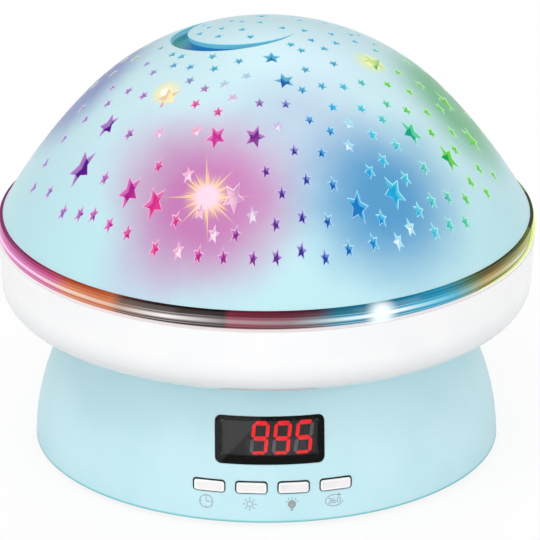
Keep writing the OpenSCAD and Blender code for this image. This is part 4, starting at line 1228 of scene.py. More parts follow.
class TreeBuilder:
    """A Geometry Nodes tree with named inputs."""

    def __init__(self, name: str, inputs: Sequence[tuple[str, str]]) -> None:
        """Starts the tree.

        Args:
            name: Name of the tree.
            inputs: Name and socket type of each input.
        """
        self.tree = bpy.data.node_groups.new(name, "GeometryNodeTree")
        for label, kind in (("Geometry", "NodeSocketGeometry"), *inputs):
            self.tree.interface.new_socket(label, in_out="INPUT", socket_type=kind)
        self.tree.interface.new_socket(
            "Geometry", in_out="OUTPUT", socket_type="NodeSocketGeometry"
        )
        self.inputs = outputs(self.tree, "NodeGroupInput")

    def finish(self, geometry: Value) -> Tree:
        """Realizes the instances, sets the finish from the input "Finish" and ends the tree."""
        real = step(self.tree, "GeometryNodeRealizeInstances", {0: geometry})
        sockets = {0: real, "Material": self.inputs["Finish"]}
        dressed = step(self.tree, "GeometryNodeSetMaterial", sockets)
        add_node(self.tree, "NodeGroupOutput", {0: dressed})
        return self.tree

    @staticmethod
    def run(tree: Tree, values: dict[str, object], source: Mesh) -> Mesh:
        """Runs a tree and returns its result as a plain mesh.

        Args:
            tree: The tree.
            values: Value of each named input.
            source: Mesh that the tree starts from.

        Returns:
            The mesh.
        """
        carrier = to_object("carrier", source)
        modifier = carrier.modifiers.new("Rule", "NODES")
        modifier.node_group = tree
        for item in tree.interface.items_tree:
            if item.item_type == "SOCKET" and item.in_out == "INPUT" and item.name in values:
                modifier[item.identifier] = values[item.name]
        evaluated = carrier.evaluated_get(bpy.context.evaluated_depsgraph_get())
        mesh = bpy.data.meshes.new_from_object(evaluated)
        carrier.modifiers.remove(modifier)
        bpy.data.objects.remove(carrier)
        return mesh


def attribute(tree: Tree, label: str, kind: str = "FLOAT") -> Value:
    """Reads a named attribute of the given type."""
    return step(tree, "GeometryNodeInputNamedAttribute", {"Name": label}, data_type=kind)


def repeat_tree() -> Tree:
    """Builds the tree that sets one item at each point of its mesh.

    Returns:
        A tree with the inputs "Item" and "Finish"; each point's "turn" turns its item.
    """
    builder = TreeBuilder(
        "repeat_item", (("Item", "NodeSocketObject"), ("Finish", "NodeSocketMaterial"))
    )
    tree = builder.tree
    item = outputs(tree, "GeometryNodeObjectInfo", {"Object": builder.inputs["Item"]})
    return builder.finish(step(tree, "GeometryNodeInstanceOnPoints", {
        "Points": step(tree, "GeometryNodeMeshToPoints", {0: builder.inputs["Geometry"]}),
        "Instance": item["Geometry"], "Rotation": attribute(tree, "turn", "FLOAT_VECTOR"),
    }))


def repeat_item(
    name: str, item: Mesh, places: Sequence[Point], turns: Sequence[Point], finish: Material
) -> bpy.types.Object:
    """Sets a small item at each place, by the repeating tree.

    Args:
        name: Name of the piece.
        item: The item's mesh, round the origin.
        places: Places in millimetres.
        turns: Turns in radians, one for each place.
        finish: The finish of all items.

    Returns:
        The piece, one plain mesh.
    """
    start = bpy.data.meshes.new(name + "_places")
    start.from_pydata([[c * MM for c in place] for place in places], [], [])
    turn = start.attributes.new("turn", "FLOAT_VECTOR", "POINT")
    turn.data.foreach_set("vector", np.array(turns, dtype=np.float32).ravel())
    model = to_object(name + "_item", item)
    mesh = TreeBuilder.run(REPEAT, {"Item": model, "Finish": finish}, start)
    bpy.data.objects.remove(model)
    return to_object(name, mesh)


REPEAT = repeat_tree()


# ---------------------------------------------------------------- dome


@dataclass(frozen=True)
class Star:
    """A star hole in plan: its middle, the radius of its points and its turn in degrees."""

    x: float
    y: float
    radius: float
    turn: float

    def outline(self, waist: float) -> np.ndarray:
        """Gives the star's ten corners, counter-clockwise."""
        corners = []
        for i in range(10):
            radius = self.radius * (1.0 if i % 2 == 0 else waist)
            angle = math.radians(self.turn + 36 * i)
            corners.append((self.x + radius * math.cos(angle), self.y + radius * math.sin(angle)))
        return np.array(corners)


# Factor and step in degrees of the sine that scatter takes its numbers from
SCATTER_GAIN, SCATTER_STEP = 4375.85, 127.1


def scatter(k: float) -> float:
    """Gives a fixed number from 0 to 1 that jumps about from one k to the next."""
    value = SCATTER_GAIN * math.sin(math.radians(SCATTER_STEP * k))
    return value - math.floor(value)


# Small stars of the front half: degrees from the front, and share of the way out to the rim
FRONT_STARS: Sequence[Pair] = (
    (-167, 0.1), (-100.5, 0.093), (-44.5, 0.087), (114.5, 0.067), (-144.5, 0.154), (-111.5, 0.18),
    (-84, 0.181), (38.5, 0.206), (98.5, 0.144), (142.5, 0.211), (-128.5, 0.295), (-103, 0.257),
    (-49, 0.27), (-24, 0.259), (61, 0.245), (80, 0.264), (99.5, 0.248), (132, 0.299), (-97, 0.401),
    (-79, 0.36), (-65.5, 0.383), (-54, 0.355), (-37.5, 0.325), (-24.5, 0.388), (-13.5, 0.337),
    (26.5, 0.315), (49.5, 0.325), (95.5, 0.335), (109.5, 0.339), (-83.5, 0.452), (-71, 0.45),
    (-45, 0.408), (-33.5, 0.424), (-33, 0.493), (-17, 0.444), (-4, 0.459), (8, 0.466), (18, 0.41),
    (29.5, 0.407), (40.5, 0.434), (52, 0.445), (93.5, 0.412), (105, 0.426), (-83, 0.584),
    (-71, 0.548), (-60.5, 0.53), (-21.5, 0.508), (3.5, 0.551), (16.5, 0.534), (23, 0.583),
    (28.5, 0.501), (31.5, 0.572), (40.5, 0.532), (53.5, 0.55), (64.5, 0.498), (71.5, 0.562),
    (80.5, 0.499), (83, 0.581), (99.5, 0.539), (-74.5, 0.619), (-52, 0.653), (-40.5, 0.619),
    (-27, 0.586), (8.5, 0.633), (17.5, 0.647), (27.5, 0.639), (38, 0.623), (44.5, 0.674),
    (46, 0.589), (60, 0.598), (69, 0.639), (78.5, 0.662), (-88, 0.694), (-78.5, 0.695),
    (-35, 0.709), (-24.5, 0.717), (-1, 0.69), (3.5, 0.748), (11, 0.716), (18.5, 0.736), (31, 0.72),
    (37, 0.701), (41.5, 0.761), (50, 0.753), (62.5, 0.688), (67.5, 0.757), (73, 0.723),
    (-81.5, 0.77), (-81, 0.842), (-51, 0.78), (-24.5, 0.829), (-18.5, 0.801), (-14, 0.851),
    (-8.5, 0.847), (-4.5, 0.803), (1.5, 0.822), (8.5, 0.808), (15, 0.822), (29.5, 0.836),
    (41, 0.841), (46.5, 0.831), (52.5, 0.839), (64.5, 0.838), (72.5, 0.831), (-78, 0.896),
    (-69, 0.873), (-59, 0.89), (-53, 0.876), (-48.5, 0.865), (-42.5, 0.873), (-36.5, 0.879),
    (-28, 0.898), (-22, 0.896), (-17, 0.898), (-11, 0.898), (-4, 0.897), (1.5, 0.895),
    (7.5, 0.883), (13, 0.901), (19, 0.889), (25.5, 0.884), (32, 0.893), (36.5, 0.871), (43, 0.896),
    (48.5, 0.894), (54, 0.903), (58.5, 0.862), (68.5, 0.88), (78, 0.87),
)
# Large stars of the front half: the same, and size against a small star
BIG_STARS: Sequence[Point] = (
    (-62, 0.784, 2.83), (-64, 0.661, 2.17), (-48, 0.498, 2.42), (-40.7, 0.788, 2.25),
    (-32, 0.799, 2.17), (-19, 0.596, 2.08), (-10, 0.76, 2), (-5, 0.586, 2.08), (4, 0.227, 1.83),
    (10, 0.359, 2), (24, 0.799, 2.08), (36, 0.784, 2.17), (54, 0.658, 2.17), (62, 0.762, 2.08),
    (76, 0.414, 2.83), (81, 0.777, 2.08), (87, 0.674, 2.08),
)
# Samples of the dome's profile, room that the sheet's last row of points leaves before the edge
# as a share of a step, and fewest points in a row
LATTICE_SAMPLES, LAST_ROW, FEWEST_POINTS = 600, 0.6, 6
# Which finish each kind of face of the dome takes
SKIN_FINISHES = (
    (Skin.OUTER, "Shell finish"), (Skin.INNER, "Shell finish"), (Skin.RIM, "Shell finish"),
    (Skin.EDGE, "Edge finish"), (Skin.WALL, "Wall finish"), (Skin.DEEP, "Deep finish"),
)


@dataclass
class DomeProfile:
    """The dome's section: a round crown that runs smoothly into a flatter flank."""

    rim_r: float = 63.8
    rim_z: float = 58.7
    height: float = 46.3
    crown_inset: float = 3.2
    flank_r: float = 143.0

    def __post_init__(self) -> None:
        """Works out the middles of both arcs and the direction of their seam."""
        self.crown_r = self.rim_r - self.crown_inset
        self.crown_z = self.rim_z + self.height - self.crown_r
        rim = np.array([self.rim_r, self.rim_z - self.crown_z])
        far = float(np.linalg.norm(rim))
        reach = self.flank_r - self.crown_r
        along = (reach**2 - self.flank_r**2 + far**2) / (2 * far)
        across = math.sqrt(reach**2 - along**2)
        side = np.array([rim[1], -rim[0]])
        middle = np.array([0, self.crown_z]) + along * rim / far + across * side / far
        self.flank_x, self.flank_z = (float(c) for c in middle)
        self.seam = math.atan2(-self.flank_x, self.crown_z - self.flank_z)

    def on_crown(self, radius: np.ndarray, inset: float = 0.0) -> np.ndarray:
        """Tells which distances from the axis lie on the crown, below the surface by an inset."""
        return radius < (self.crown_r - inset) * math.sin(self.seam)

    def height_at(self, radius: np.ndarray) -> np.ndarray:
        """Gives the height of the outer surface at distances from the axis."""
        crown = self.crown_z + np.sqrt(np.maximum(self.crown_r**2 - radius**2, 0))
        flank = self.flank_z + np.sqrt(self.flank_r**2 - (radius - self.flank_x) ** 2)
        return np.where(self.on_crown(radius), crown, flank)

    def radius_at(self, z: float, inset: float) -> float:
        """Gives the flank's radius at a height, below the outer surface by an inset."""
        return self.flank_x + math.sqrt((self.flank_r - inset) ** 2 - (z - self.flank_z) ** 2)

    def normals(self, points: np.ndarray, inset: float) -> np.ndarray:
        """Gives the exact outward direction of the surface at points on it.

        Args:
            points: Places in millimetres, one a row.
            inset: How far the surface lies below the outer one.

        Returns:
            Unit directions, one a row.
        """
        radius = np.hypot(points[:, 0], points[:, 1])
        crown = self.on_crown(radius, inset)
        out = np.where(crown, radius, radius - self.flank_x)
        up = np.where(crown, points[:, 2] - self.crown_z, points[:, 2] - self.flank_z)
        safe = np.maximum(radius, 1e-9)
        lines = np.stack([points[:, 0] / safe * out, points[:, 1] / safe * out, up], axis=1)
        return lines / np.linalg.norm(lines, axis=1, keepdims=True)


@dataclass
class Moon:
    """The crescent hole: a disc less a second one, shifted towards the open side."""

    rim_r: float
    radius: float = 15.8
    width: float = 4.2
    reach: float = 0.6
    open_dir: float = 10.0
    place: Pair = (-0.113, 0.0925)
    steps: int = 96

    def __post_init__(self) -> None:
        """Works out both discs, and how far along the open side's direction the tips lie."""
        shift = (self.reach + self.width) / 2
        turn = math.radians(self.open_dir)
        self.inner_r = self.radius + (self.reach - self.width) / 2
        self.way = np.array([math.cos(turn), math.sin(turn)])
        self.middle = self.rim_r * np.array(self.place)
        self.inner_middle = self.middle + shift * self.way
        self.tip = (shift**2 + self.radius**2 - self.inner_r**2) / (2 * shift)

    def gaps(self, cloud: np.ndarray) -> tuple[np.ndarray, np.ndarray]:
        """Gives how far points lie outside the outer and the inner disc."""
        return (
            np.linalg.norm(cloud - self.middle, axis=-1) - self.radius,
            np.linalg.norm(cloud - self.inner_middle, axis=-1) - self.inner_r,
        )

    def clear_of(self, place: np.ndarray, room: float) -> bool:
        """Tells whether a place has some room to the crescent all round."""
        outer, inner = self.gaps(place)
        past_tips = (place - self.middle) @ self.way > self.tip + room
        return bool(outer > room or inner < -room or past_tips)

    def outline(self) -> np.ndarray:
        """Gives the crescent's outline, counter-clockwise."""
        gap = self.inner_middle - self.middle
        far = float(np.linalg.norm(gap))
        base = math.atan2(gap[1], gap[0])
        tip = math.acos((far**2 + self.radius**2 - self.inner_r**2) / (2 * far * self.radius))
        back = math.acos((self.radius**2 - far**2 - self.inner_r**2) / (2 * far * self.inner_r))
        arcs = (
            (self.middle, self.radius,
             np.linspace(base + tip, base + 2 * math.pi - tip, self.steps)),
            (self.inner_middle, self.inner_r,
             np.linspace(base + 2 * math.pi - back, base + back, self.steps)[1:-1]),
        )
        return np.vstack([
            centre + radius * np.stack([np.cos(angles), np.sin(angles)], axis=1)
            for centre, radius, angles in arcs
        ])


@dataclass
class FlatSheet:
    """A flat mesh in the making, with the inset of each point and the skin of each face."""

    points: list[np.ndarray] = field(default_factory=list)
    faces: list[list[int]] = field(default_factory=list)
    kinds: list[int] = field(default_factory=list)
    count: int = 0

    def add(
        self, cloud: np.ndarray, cells: list[list[int]], kind: Skin, insets: np.ndarray
    ) -> None:
        """Adds points in plan, and faces of one skin on them.

        Args:
            cloud: The points, in millimetres.
            cells: The faces, as numbers of these points.
            kind: What the faces belong to.
            insets: How far each point lies below the outer surface.
        """
        self.points.append(np.column_stack([cloud, insets]))
        self.faces.extend([[self.count + i for i in cell] for cell in cells])
        self.kinds.extend([kind.value] * len(cells))
        self.count += len(cloud)

    def mesh(self) -> Mesh:
        """Gives the mesh in metres, with the attributes "inset" and "kind"."""
        cloud = np.vstack(self.points) * MM
        mesh = bpy.data.meshes.new("flat_sheet")
        mesh.from_pydata([(x, y, 0.0) for x, y in cloud[:, :2]], [], self.faces)
        layer = mesh.attributes.new("inset", "FLOAT", "POINT")
        layer.data.foreach_set("value", cloud[:, 2].astype(np.float32))
        mesh.attributes.new("kind", "INT", "FACE").data.foreach_set("value", self.kinds)
        return mesh


@dataclass
class Dome:
    """The lift-off dome: a pale shell pierced with stars and a moon, over a glowing inner dome."""

    finishes: dict[Slot, Material]
    profile: DomeProfile = field(default_factory=DomeProfile)
    wall: float = 2.0
    flange_top: float = 60.2
    skirt_r: float = 58.6
    skirt_t: float = 1.8
    skirt_z: float = 55.6
    skirt_soft: float = 0.15
    # inset and height of each step of the rim's round edge
    rim_round: Sequence[Pair] = ((0.04, 0.09), (0.09, 0.02), (0.2, 0.0))
    rim_inset: float = 0.12
    edge: float = 0.14
    lit_depth: float = 1.25
    lean: float = 0.3
    steps_round: int = 240
    row_step: float = 1.5
    outer_margin: float = 0.45
    inner_margin: float = 1.0
    star_r: float = 1.2
    star_waist: float = 0.45
    star_web: float = 0.9
    star_sway: float = 40.0
    side_dir: float = 75.0
    # where the turns of the large and of the small stars start in the scatter
    big_seed: int = 7
    small_seed: int = 25

    def __post_init__(self) -> None:
        """Places the moon, and works out where both skins end."""
        self.moon = Moon(self.profile.rim_r)
        self.outer_end = self.profile.rim_r - self.rim_inset
        self.inner_end = self.profile.radius_at(self.flange_top, self.wall)

    def leaned(self, outline: np.ndarray, inset: float) -> np.ndarray:
        """Moves an outline outwards, so that a hole's wall leans from the normal to the vertical.

        Args:
            outline: The outline in plan.
            inset: How far below the outer surface its row lies.

        Returns:
            The moved outline.
        """
        radius = np.linalg.norm(outline, axis=1)
        places = np.column_stack([outline, self.profile.height_at(radius)])
        slope = np.linalg.norm(self.profile.normals(places, 0.0)[:, :2], axis=1)
        return outline * (1 + self.lean * inset * slope / np.maximum(radius, 1e-6))[:, None]

    def plan(self, direction_deg: float, share: float) -> np.ndarray:
        """Gives the plan place at a direction from the front and a share of the rim's radius."""
        angle = math.radians(direction_deg)
        return self.profile.rim_r * share * np.array([math.sin(angle), -math.cos(angle)])

    def stars(self) -> list[Star]:
        """Lists every star hole: large ones, their copies at the back, and small ones between.

        Returns:
            The stars.
        """
        large = list(BIG_STARS)
        for angle, share, size in BIG_STARS:
            place, room = self.plan(angle + 180, share), size * self.star_r + self.star_web
            if abs(angle) < self.side_dir and self.moon.clear_of(place, room):
                large.append((angle + 180, share, size))
        big = [
            Star(*self.plan(angle, share), size * self.star_r, 360 * scatter(i + self.big_seed))
            for i, (angle, share, size) in enumerate(large)
        ]
        room = self.star_r + self.star_web
        places = [self.plan(angle, share) for angle, share in FRONT_STARS]
        places += [
            -place for place in places
            if min(float(np.linalg.norm(place + other)) for other in places) > room + self.star_r
        ]
        small = []
        for i, (x, y) in enumerate(places):
            clear = min(math.hypot(x - star.x, y - star.y) - star.radius for star in big)
            if clear > room and self.moon.clear_of(places[i], room):
                turn = math.degrees(math.atan2(-y, -x))
                turn += self.star_sway * (scatter(i + self.small_seed) - 0.5)
                small.append(Star(x, y, self.star_r, turn))
        return big + small

    def lattice(
        self, limit: float, stars: Sequence[Star], margin: float, step: float
    ) -> np.ndarray:
        """Gives the points that keep the sheet's triangles small, clear of its holes.

        Args:
            limit: Largest distance from the axis.
            stars: The star holes.
            margin: Room that is left round each hole.
            step: Distance between points along the surface.

        Returns:
            The points, in plan.
        """
        radii = np.linspace(0, limit, LATTICE_SAMPLES)
        run = np.hypot(np.diff(radii), np.diff(self.profile.height_at(radii)))
        length = np.concatenate([[0], np.cumsum(run)])
        rows = np.interp(np.arange(step, length[-1] - step * LAST_ROW, step), length, radii)
        points = [np.zeros((1, 2))]
        for j, radius in enumerate(rows):
            count = max(FEWEST_POINTS, round(2 * math.pi * radius / step))
            angles = 2 * math.pi * (np.arange(count) + 0.5 * (j % 2)) / count
            points.append(radius * np.stack([np.cos(angles), np.sin(angles)], axis=1))
        cloud = np.vstack(points)
        outer, inner = self.moon.gaps(cloud)
        keep = ~((outer < margin) & (inner > -margin))
        for star in stars:
            keep &= np.hypot(cloud[:, 0] - star.x, cloud[:, 1] - star.y) > star.radius + margin
        return cloud[keep]

    def sheet_mesh(self) -> Mesh:
        """Draws both skins and the walls of the holes flat, with their inset as an attribute.

        Returns:
            The flat mesh, in metres.
        """
        stars = self.stars()
        outlines = [star.outline(self.star_waist) for star in stars] + [self.moon.outline()]
        widened = [offset_outline(outline, self.edge) for outline in outlines]
        # below lit_depth each hole's wall takes the inner dome's glowing finish: painted light that
        # makes the wall read as the hole's floor
        depths = (0.0, self.edge, self.lit_depth, self.wall)
        rows = [[self.leaned(line, inset) for line in outlines] for inset in depths[1:]]
        rim = circle(self.steps_round)
        sheet = FlatSheet()
        lattice = self.lattice(self.outer_end, stars, self.outer_margin, self.row_step)
        cloud, cells = pierced_sheet(rim * self.outer_end, widened, lattice)
        sheet.add(cloud, cells, Skin.OUTER, np.zeros(len(cloud)))
        # the plan radius whose inward normal ends at the flange on the inner skin
        flank = self.profile
        share = flank.flank_r / (flank.flank_r - self.wall)
        inner_plan = flank.flank_x + share * (self.inner_end - flank.flank_x)
        lattice = self.lattice(inner_plan, stars, self.inner_margin, 2 * self.row_step)
        cloud, cells = pierced_sheet(rim * inner_plan, rows[-1], lattice)
        turned = [cell[::-1] for cell in cells]
        sheet.add(cloud, turned, Skin.INNER, np.full(len(cloud), self.wall))
        for lines in zip(widened, *rows):
            count = len(lines[0])
            after = [(k + 1) % count for k in range(count)]
            strip = [[k, after[k], count + after[k], count + k] for k in range(count)]
            for i, kind in enumerate((Skin.EDGE, Skin.WALL, Skin.DEEP)):
                insets = np.repeat(depths[i : i + 2], count)
                sheet.add(np.vstack(lines[i : i + 2]), strip, kind, insets)
        log.info("dome: %d stars and the moon, %d faces", len(stars), len(sheet.faces))
        return sheet.mesh()

    def raise_tree(self) -> Tree:
        """Builds the tree that raises the flat sheet onto the dome's profile and dresses it.

        Returns:
            The tree; its inputs are the sizes of the profile and the finishes.
        """
        lengths = (
            "Crown radius", "Crown height", "Flank radius", "Flank axis", "Flank height",
            "Seam sine",
        )
        finishes = dict.fromkeys(finish for _, finish in SKIN_FINISHES)
        builder = TreeBuilder("raise_on_dome", (
            *((label, "NodeSocketFloat") for label in lengths),
            *((finish, "NodeSocketMaterial") for finish in finishes),
        ))
        tree, given = builder.tree, builder.inputs
        place = step(tree, "GeometryNodeInputPosition")
        radius = place.vector("LENGTH")
        crown_end = given["Crown radius"] * given["Seam sine"]
        on_crown = radius.math("LESS_THAN", crown_end)
        # a point moves along the line from its arc's middle: up to the arc, then in by the inset
        arc_r = mix(on_crown, given["Flank radius"], given["Crown radius"])
        arc_x = mix(on_crown, given["Flank axis"], 0.0)
        arc_z = mix(on_crown, given["Flank height"], given["Crown height"])
        reach = radius - arc_x
        squares = arc_r * arc_r
        squares = squares - reach * reach
        rise = squares.math("MAXIMUM", 0.0).math("SQRT")
        depth = arc_r - attribute(tree, "inset")
        share = depth / arc_r
        height = rise * share + arc_z
        across = reach * share + arc_x
        stretch = across / radius.math("MAXIMUM", 1e-7)
        lift = step(tree, "ShaderNodeCombineXYZ", {"Z": height})
        target = place.vector("SCALE", stretch).vector("ADD", lift)
        sockets = {0: given["Geometry"], "Position": target}
        raised = step(tree, "GeometryNodeSetPosition", sockets)
        dressed = step(tree, "GeometryNodeRealizeInstances", {0: raised})
        for kind, finish in SKIN_FINISHES:
            chosen = step(
                tree, "FunctionNodeCompare", {2: attribute(tree, "kind", "INT"), 3: kind.value},
                data_type="INT", operation="EQUAL",
            )
            dressed = step(tree, "GeometryNodeSetMaterial", {
                0: dressed, "Selection": chosen, "Material": given[finish],
            })
        add_node(tree, "NodeGroupOutput", {0: dressed})
        return tree

    def rim_profile(self) -> list[Pair]:
        """Gives the section that joins both skins: the rim's round edge, flange and skirt."""
        rim_r, rim_z = self.profile.rim_r, self.profile.rim_z
        soft, out, low = self.skirt_soft, self.skirt_r + self.skirt_t, self.skirt_z
        return [
            (self.outer_end, float(self.profile.height_at(np.array([self.outer_end]))[0])),
            *((rim_r - inset, rim_z + rise) for inset, rise in self.rim_round),
            (out, rim_z), (out, low + soft), (out - soft, low), (self.skirt_r + soft, low),
            (self.skirt_r, low + soft), (self.skirt_r, self.flange_top),
            (self.inner_end, self.flange_top),
        ]

    def build(self) -> None:
        """Builds the pierced shell and gives it exact normals."""
        pale = {"stops": PALE_COLOURS, "top": TOP_PALE, "body": 0.5}
        given = {
            "Shell finish": self.finishes[Slot.DOME_SHELL],
            # the edges of the holes are lightened towards white: painted highlight
            "Edge finish": GlowingLayer(
                "lit_abs_edge_painted_highlight", 0.3, glow=0.5, lighten=0.3, **pale
            ).material(),
            "Wall finish": GlowingLayer(
                "lit_abs_wall", 0.4, glow=0.4, sparkle=0.5, **pale
            ).material(),
            "Deep finish": self.finishes[Slot.INNER_DOME],
        }
        arcs = self.profile
        values = {
            "Crown radius": arcs.crown_r * MM, "Crown height": arcs.crown_z * MM,
            "Flank radius": arcs.flank_r * MM, "Flank axis": arcs.flank_x * MM,
            "Flank height": arcs.flank_z * MM, "Seam sine": math.sin(arcs.seam), **given,
        }
        raised = TreeBuilder.run(self.raise_tree(), values, self.sheet_mesh())
        shape = bmesh.new()
        shape.from_mesh(raised)
        kind = shape.faces.layers.int["kind"]
        first_rim = len(shape.faces)
        lathe(shape, self.rim_profile(), self.steps_round)
        shape.faces.ensure_lookup_table()
        for face in shape.faces[first_rim:]:
            face[kind] = Skin.RIM.value
        finish_of = {
            skin.value: raised.materials.find(given[label].name) for skin, label in SKIN_FINISHES
        }
        for face in shape.faces:
            face.material_index = finish_of[face[kind]]
        mesh = from_bmesh("dome_shell_pierced", shape, list(raised.materials))
        self.set_normals(mesh)
        dome = to_object("dome_shell_pierced", mesh)
        tag_piece(dome, Body.DOME, ["dome_cover"])

    def set_normals(self, mesh: Mesh) -> None:
        """Gives both skins the exact directions of their profile, so that no facet shows.

        Args:
            mesh: The shell's mesh.
        """
        def read(rows: object, name: str, width: int, kind: type) -> np.ndarray:
            """Reads one value of every row of a collection."""
            values = np.zeros(len(rows) * width, kind)
            rows.foreach_get(name, values)
            return values.reshape(-1, width) if width > 1 else values

        kinds = read(mesh.attributes["kind"].data, "value", 1, np.int32)
        loop_kinds = np.repeat(kinds, read(mesh.polygons, "loop_total", 1, np.int32))
        corners = read(mesh.loops, "vertex_index", 1, np.int32)
        places = read(mesh.vertices, "co", 3, np.float32)[corners] / MM
        normals = read(mesh.corner_normals, "vector", 3, np.float32)
        for skin, inset, way in ((Skin.OUTER, 0.0, 1), (Skin.INNER, self.wall, -1)):
            chosen = loop_kinds == skin.value
            normals[chosen] = way * self.profile.normals(places[chosen], inset)
        mesh.normals_split_custom_set(normals.tolist())


# ---------------------------------------------------------------- display, keys and prints


@dataclass
class Keys:
    """The four key caps: a raised bright rim round a slightly dished face, a lip and a stem."""

    finishes: dict[Slot, Material]
    ball_r: float = 56.9
    wall_r: float = 54.4
    width: float = 7.2
    height: float = 2.6
    corner: float = 0.6
    # how much of a ring's inset its corners lose, and their least radius
    corner_loss: float = 0.6
    least_corner: float = 0.25
    lip_w: float = 9.3
    lip_h: float = 4.7
    lip_t: float = 1.0
    stem_r: float = 1.3
    stem_steps: int = 32
    seat: float = 0.05
    # inset and depth of each ring of the cap's front, from its side to its face
    rim: Sequence[Pair] = (
        (0.0, 0.42), (0.05, 0.24), (0.15, 0.1), (0.28, 0.03), (0.42, 0.0), (0.5, 0.02), (0.56, 0.1),
    )

    def face_rings(self, x: float, z: float) -> list[list[Point]]:
        """Gives the rings of the cap's front, from its dished face out to its side.

        Args:
            x: Middle of the key.
            z: Height of the key's middle.

        Returns:
            The rings, in millimetres.
        """
        rings = []
        for inset, depth in reversed(self.rim):
            corner = max(self.corner - inset * self.corner_loss, self.least_corner)
            outline = rounded_box(self.width - 2 * inset, self.height - 2 * inset, corner)
            rings.append([
                (x + u, -math.sqrt(self.ball_r**2 - (x + u) ** 2 - (z + v) ** 2) + depth, z + v)
                for u, v in outline
            ])
        return rings

    def cap_shape(self, node: str) -> Shape:
        """Draws one key round the place of its node.

        Args:
            node: The key's node.

        Returns:
            The shape; its materials are the cap's, the face's and the skirt's, whose dark colour is
            painted shade of the gap round the cap.
        """
        low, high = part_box(node)
        x, z = (low.x + high.x) / 2 / MM, (low.z + high.z) / 2 / MM
        far_x, far_z = abs(x) + self.lip_w / 2, z + self.lip_h / 2
        lip_y = self.seat - math.sqrt(self.wall_r**2 - far_x**2 - far_z**2)
        shape = bmesh.new()
        rings = self.face_rings(x, z)
        side = [(px, lip_y, pz) for px, _, pz in rings[-1]]
        loft(shape, [*rings, side])
        shape.faces.ensure_lookup_table()
        shape.faces[-2].material_index = 1
        for face in shape.faces[-2 - 2 * len(side) : -2]:
            face.material_index = 2
        stem_y = lip_y + self.lip_t
        bars = (
            (rounded_box(self.lip_w, self.lip_h, self.corner), lip_y, stem_y),
            (circle(self.stem_steps) * self.stem_r, stem_y, high.y / MM),
        )
        for outline, start, end in bars:
            loft(shape, [[(x + u, y, z + v) for u, v in outline] for y in (start, end)], 2)
        return shape

    def build(self) -> None:
        """Builds each key on its own body."""
        # the face is printed with a matt lacquer, a shade warmer than the cap
        lacquer = MouldedPlastic(
            "matt_lacquer_warm_white", 0.5, colour="#F1ECEC", cloud="#EEE9EA", grain_depth_mm=0.004,
        ).material()
        # the skirt round each cap, its lip and its stem are a dark rubber-like colour: painted
        # shade of the gap round the cap
        skirt = MouldedPlastic(
            "dark_key_skirt_painted_gap_shade", 0.7, colour="#2B2F34", cloud="#25292D", grain_depth_mm=0.01,
        ).material()
        rows = (
            ("key_timer", Body.TIMER_KEY), ("key_brightness", Body.BRIGHTNESS_KEY),
            ("key_lamps", Body.LAMPS_KEY), ("key_rotation", Body.ROTATION_KEY),
        )
        materials = [self.finishes[Slot.WHITE_KEY], lacquer, skirt]
        for node, body in rows:
            mesh = from_bmesh(node + "_cap", self.cap_shape(node), materials, 50)
            tag_piece(to_object(node + "_cap", mesh), body, [node])


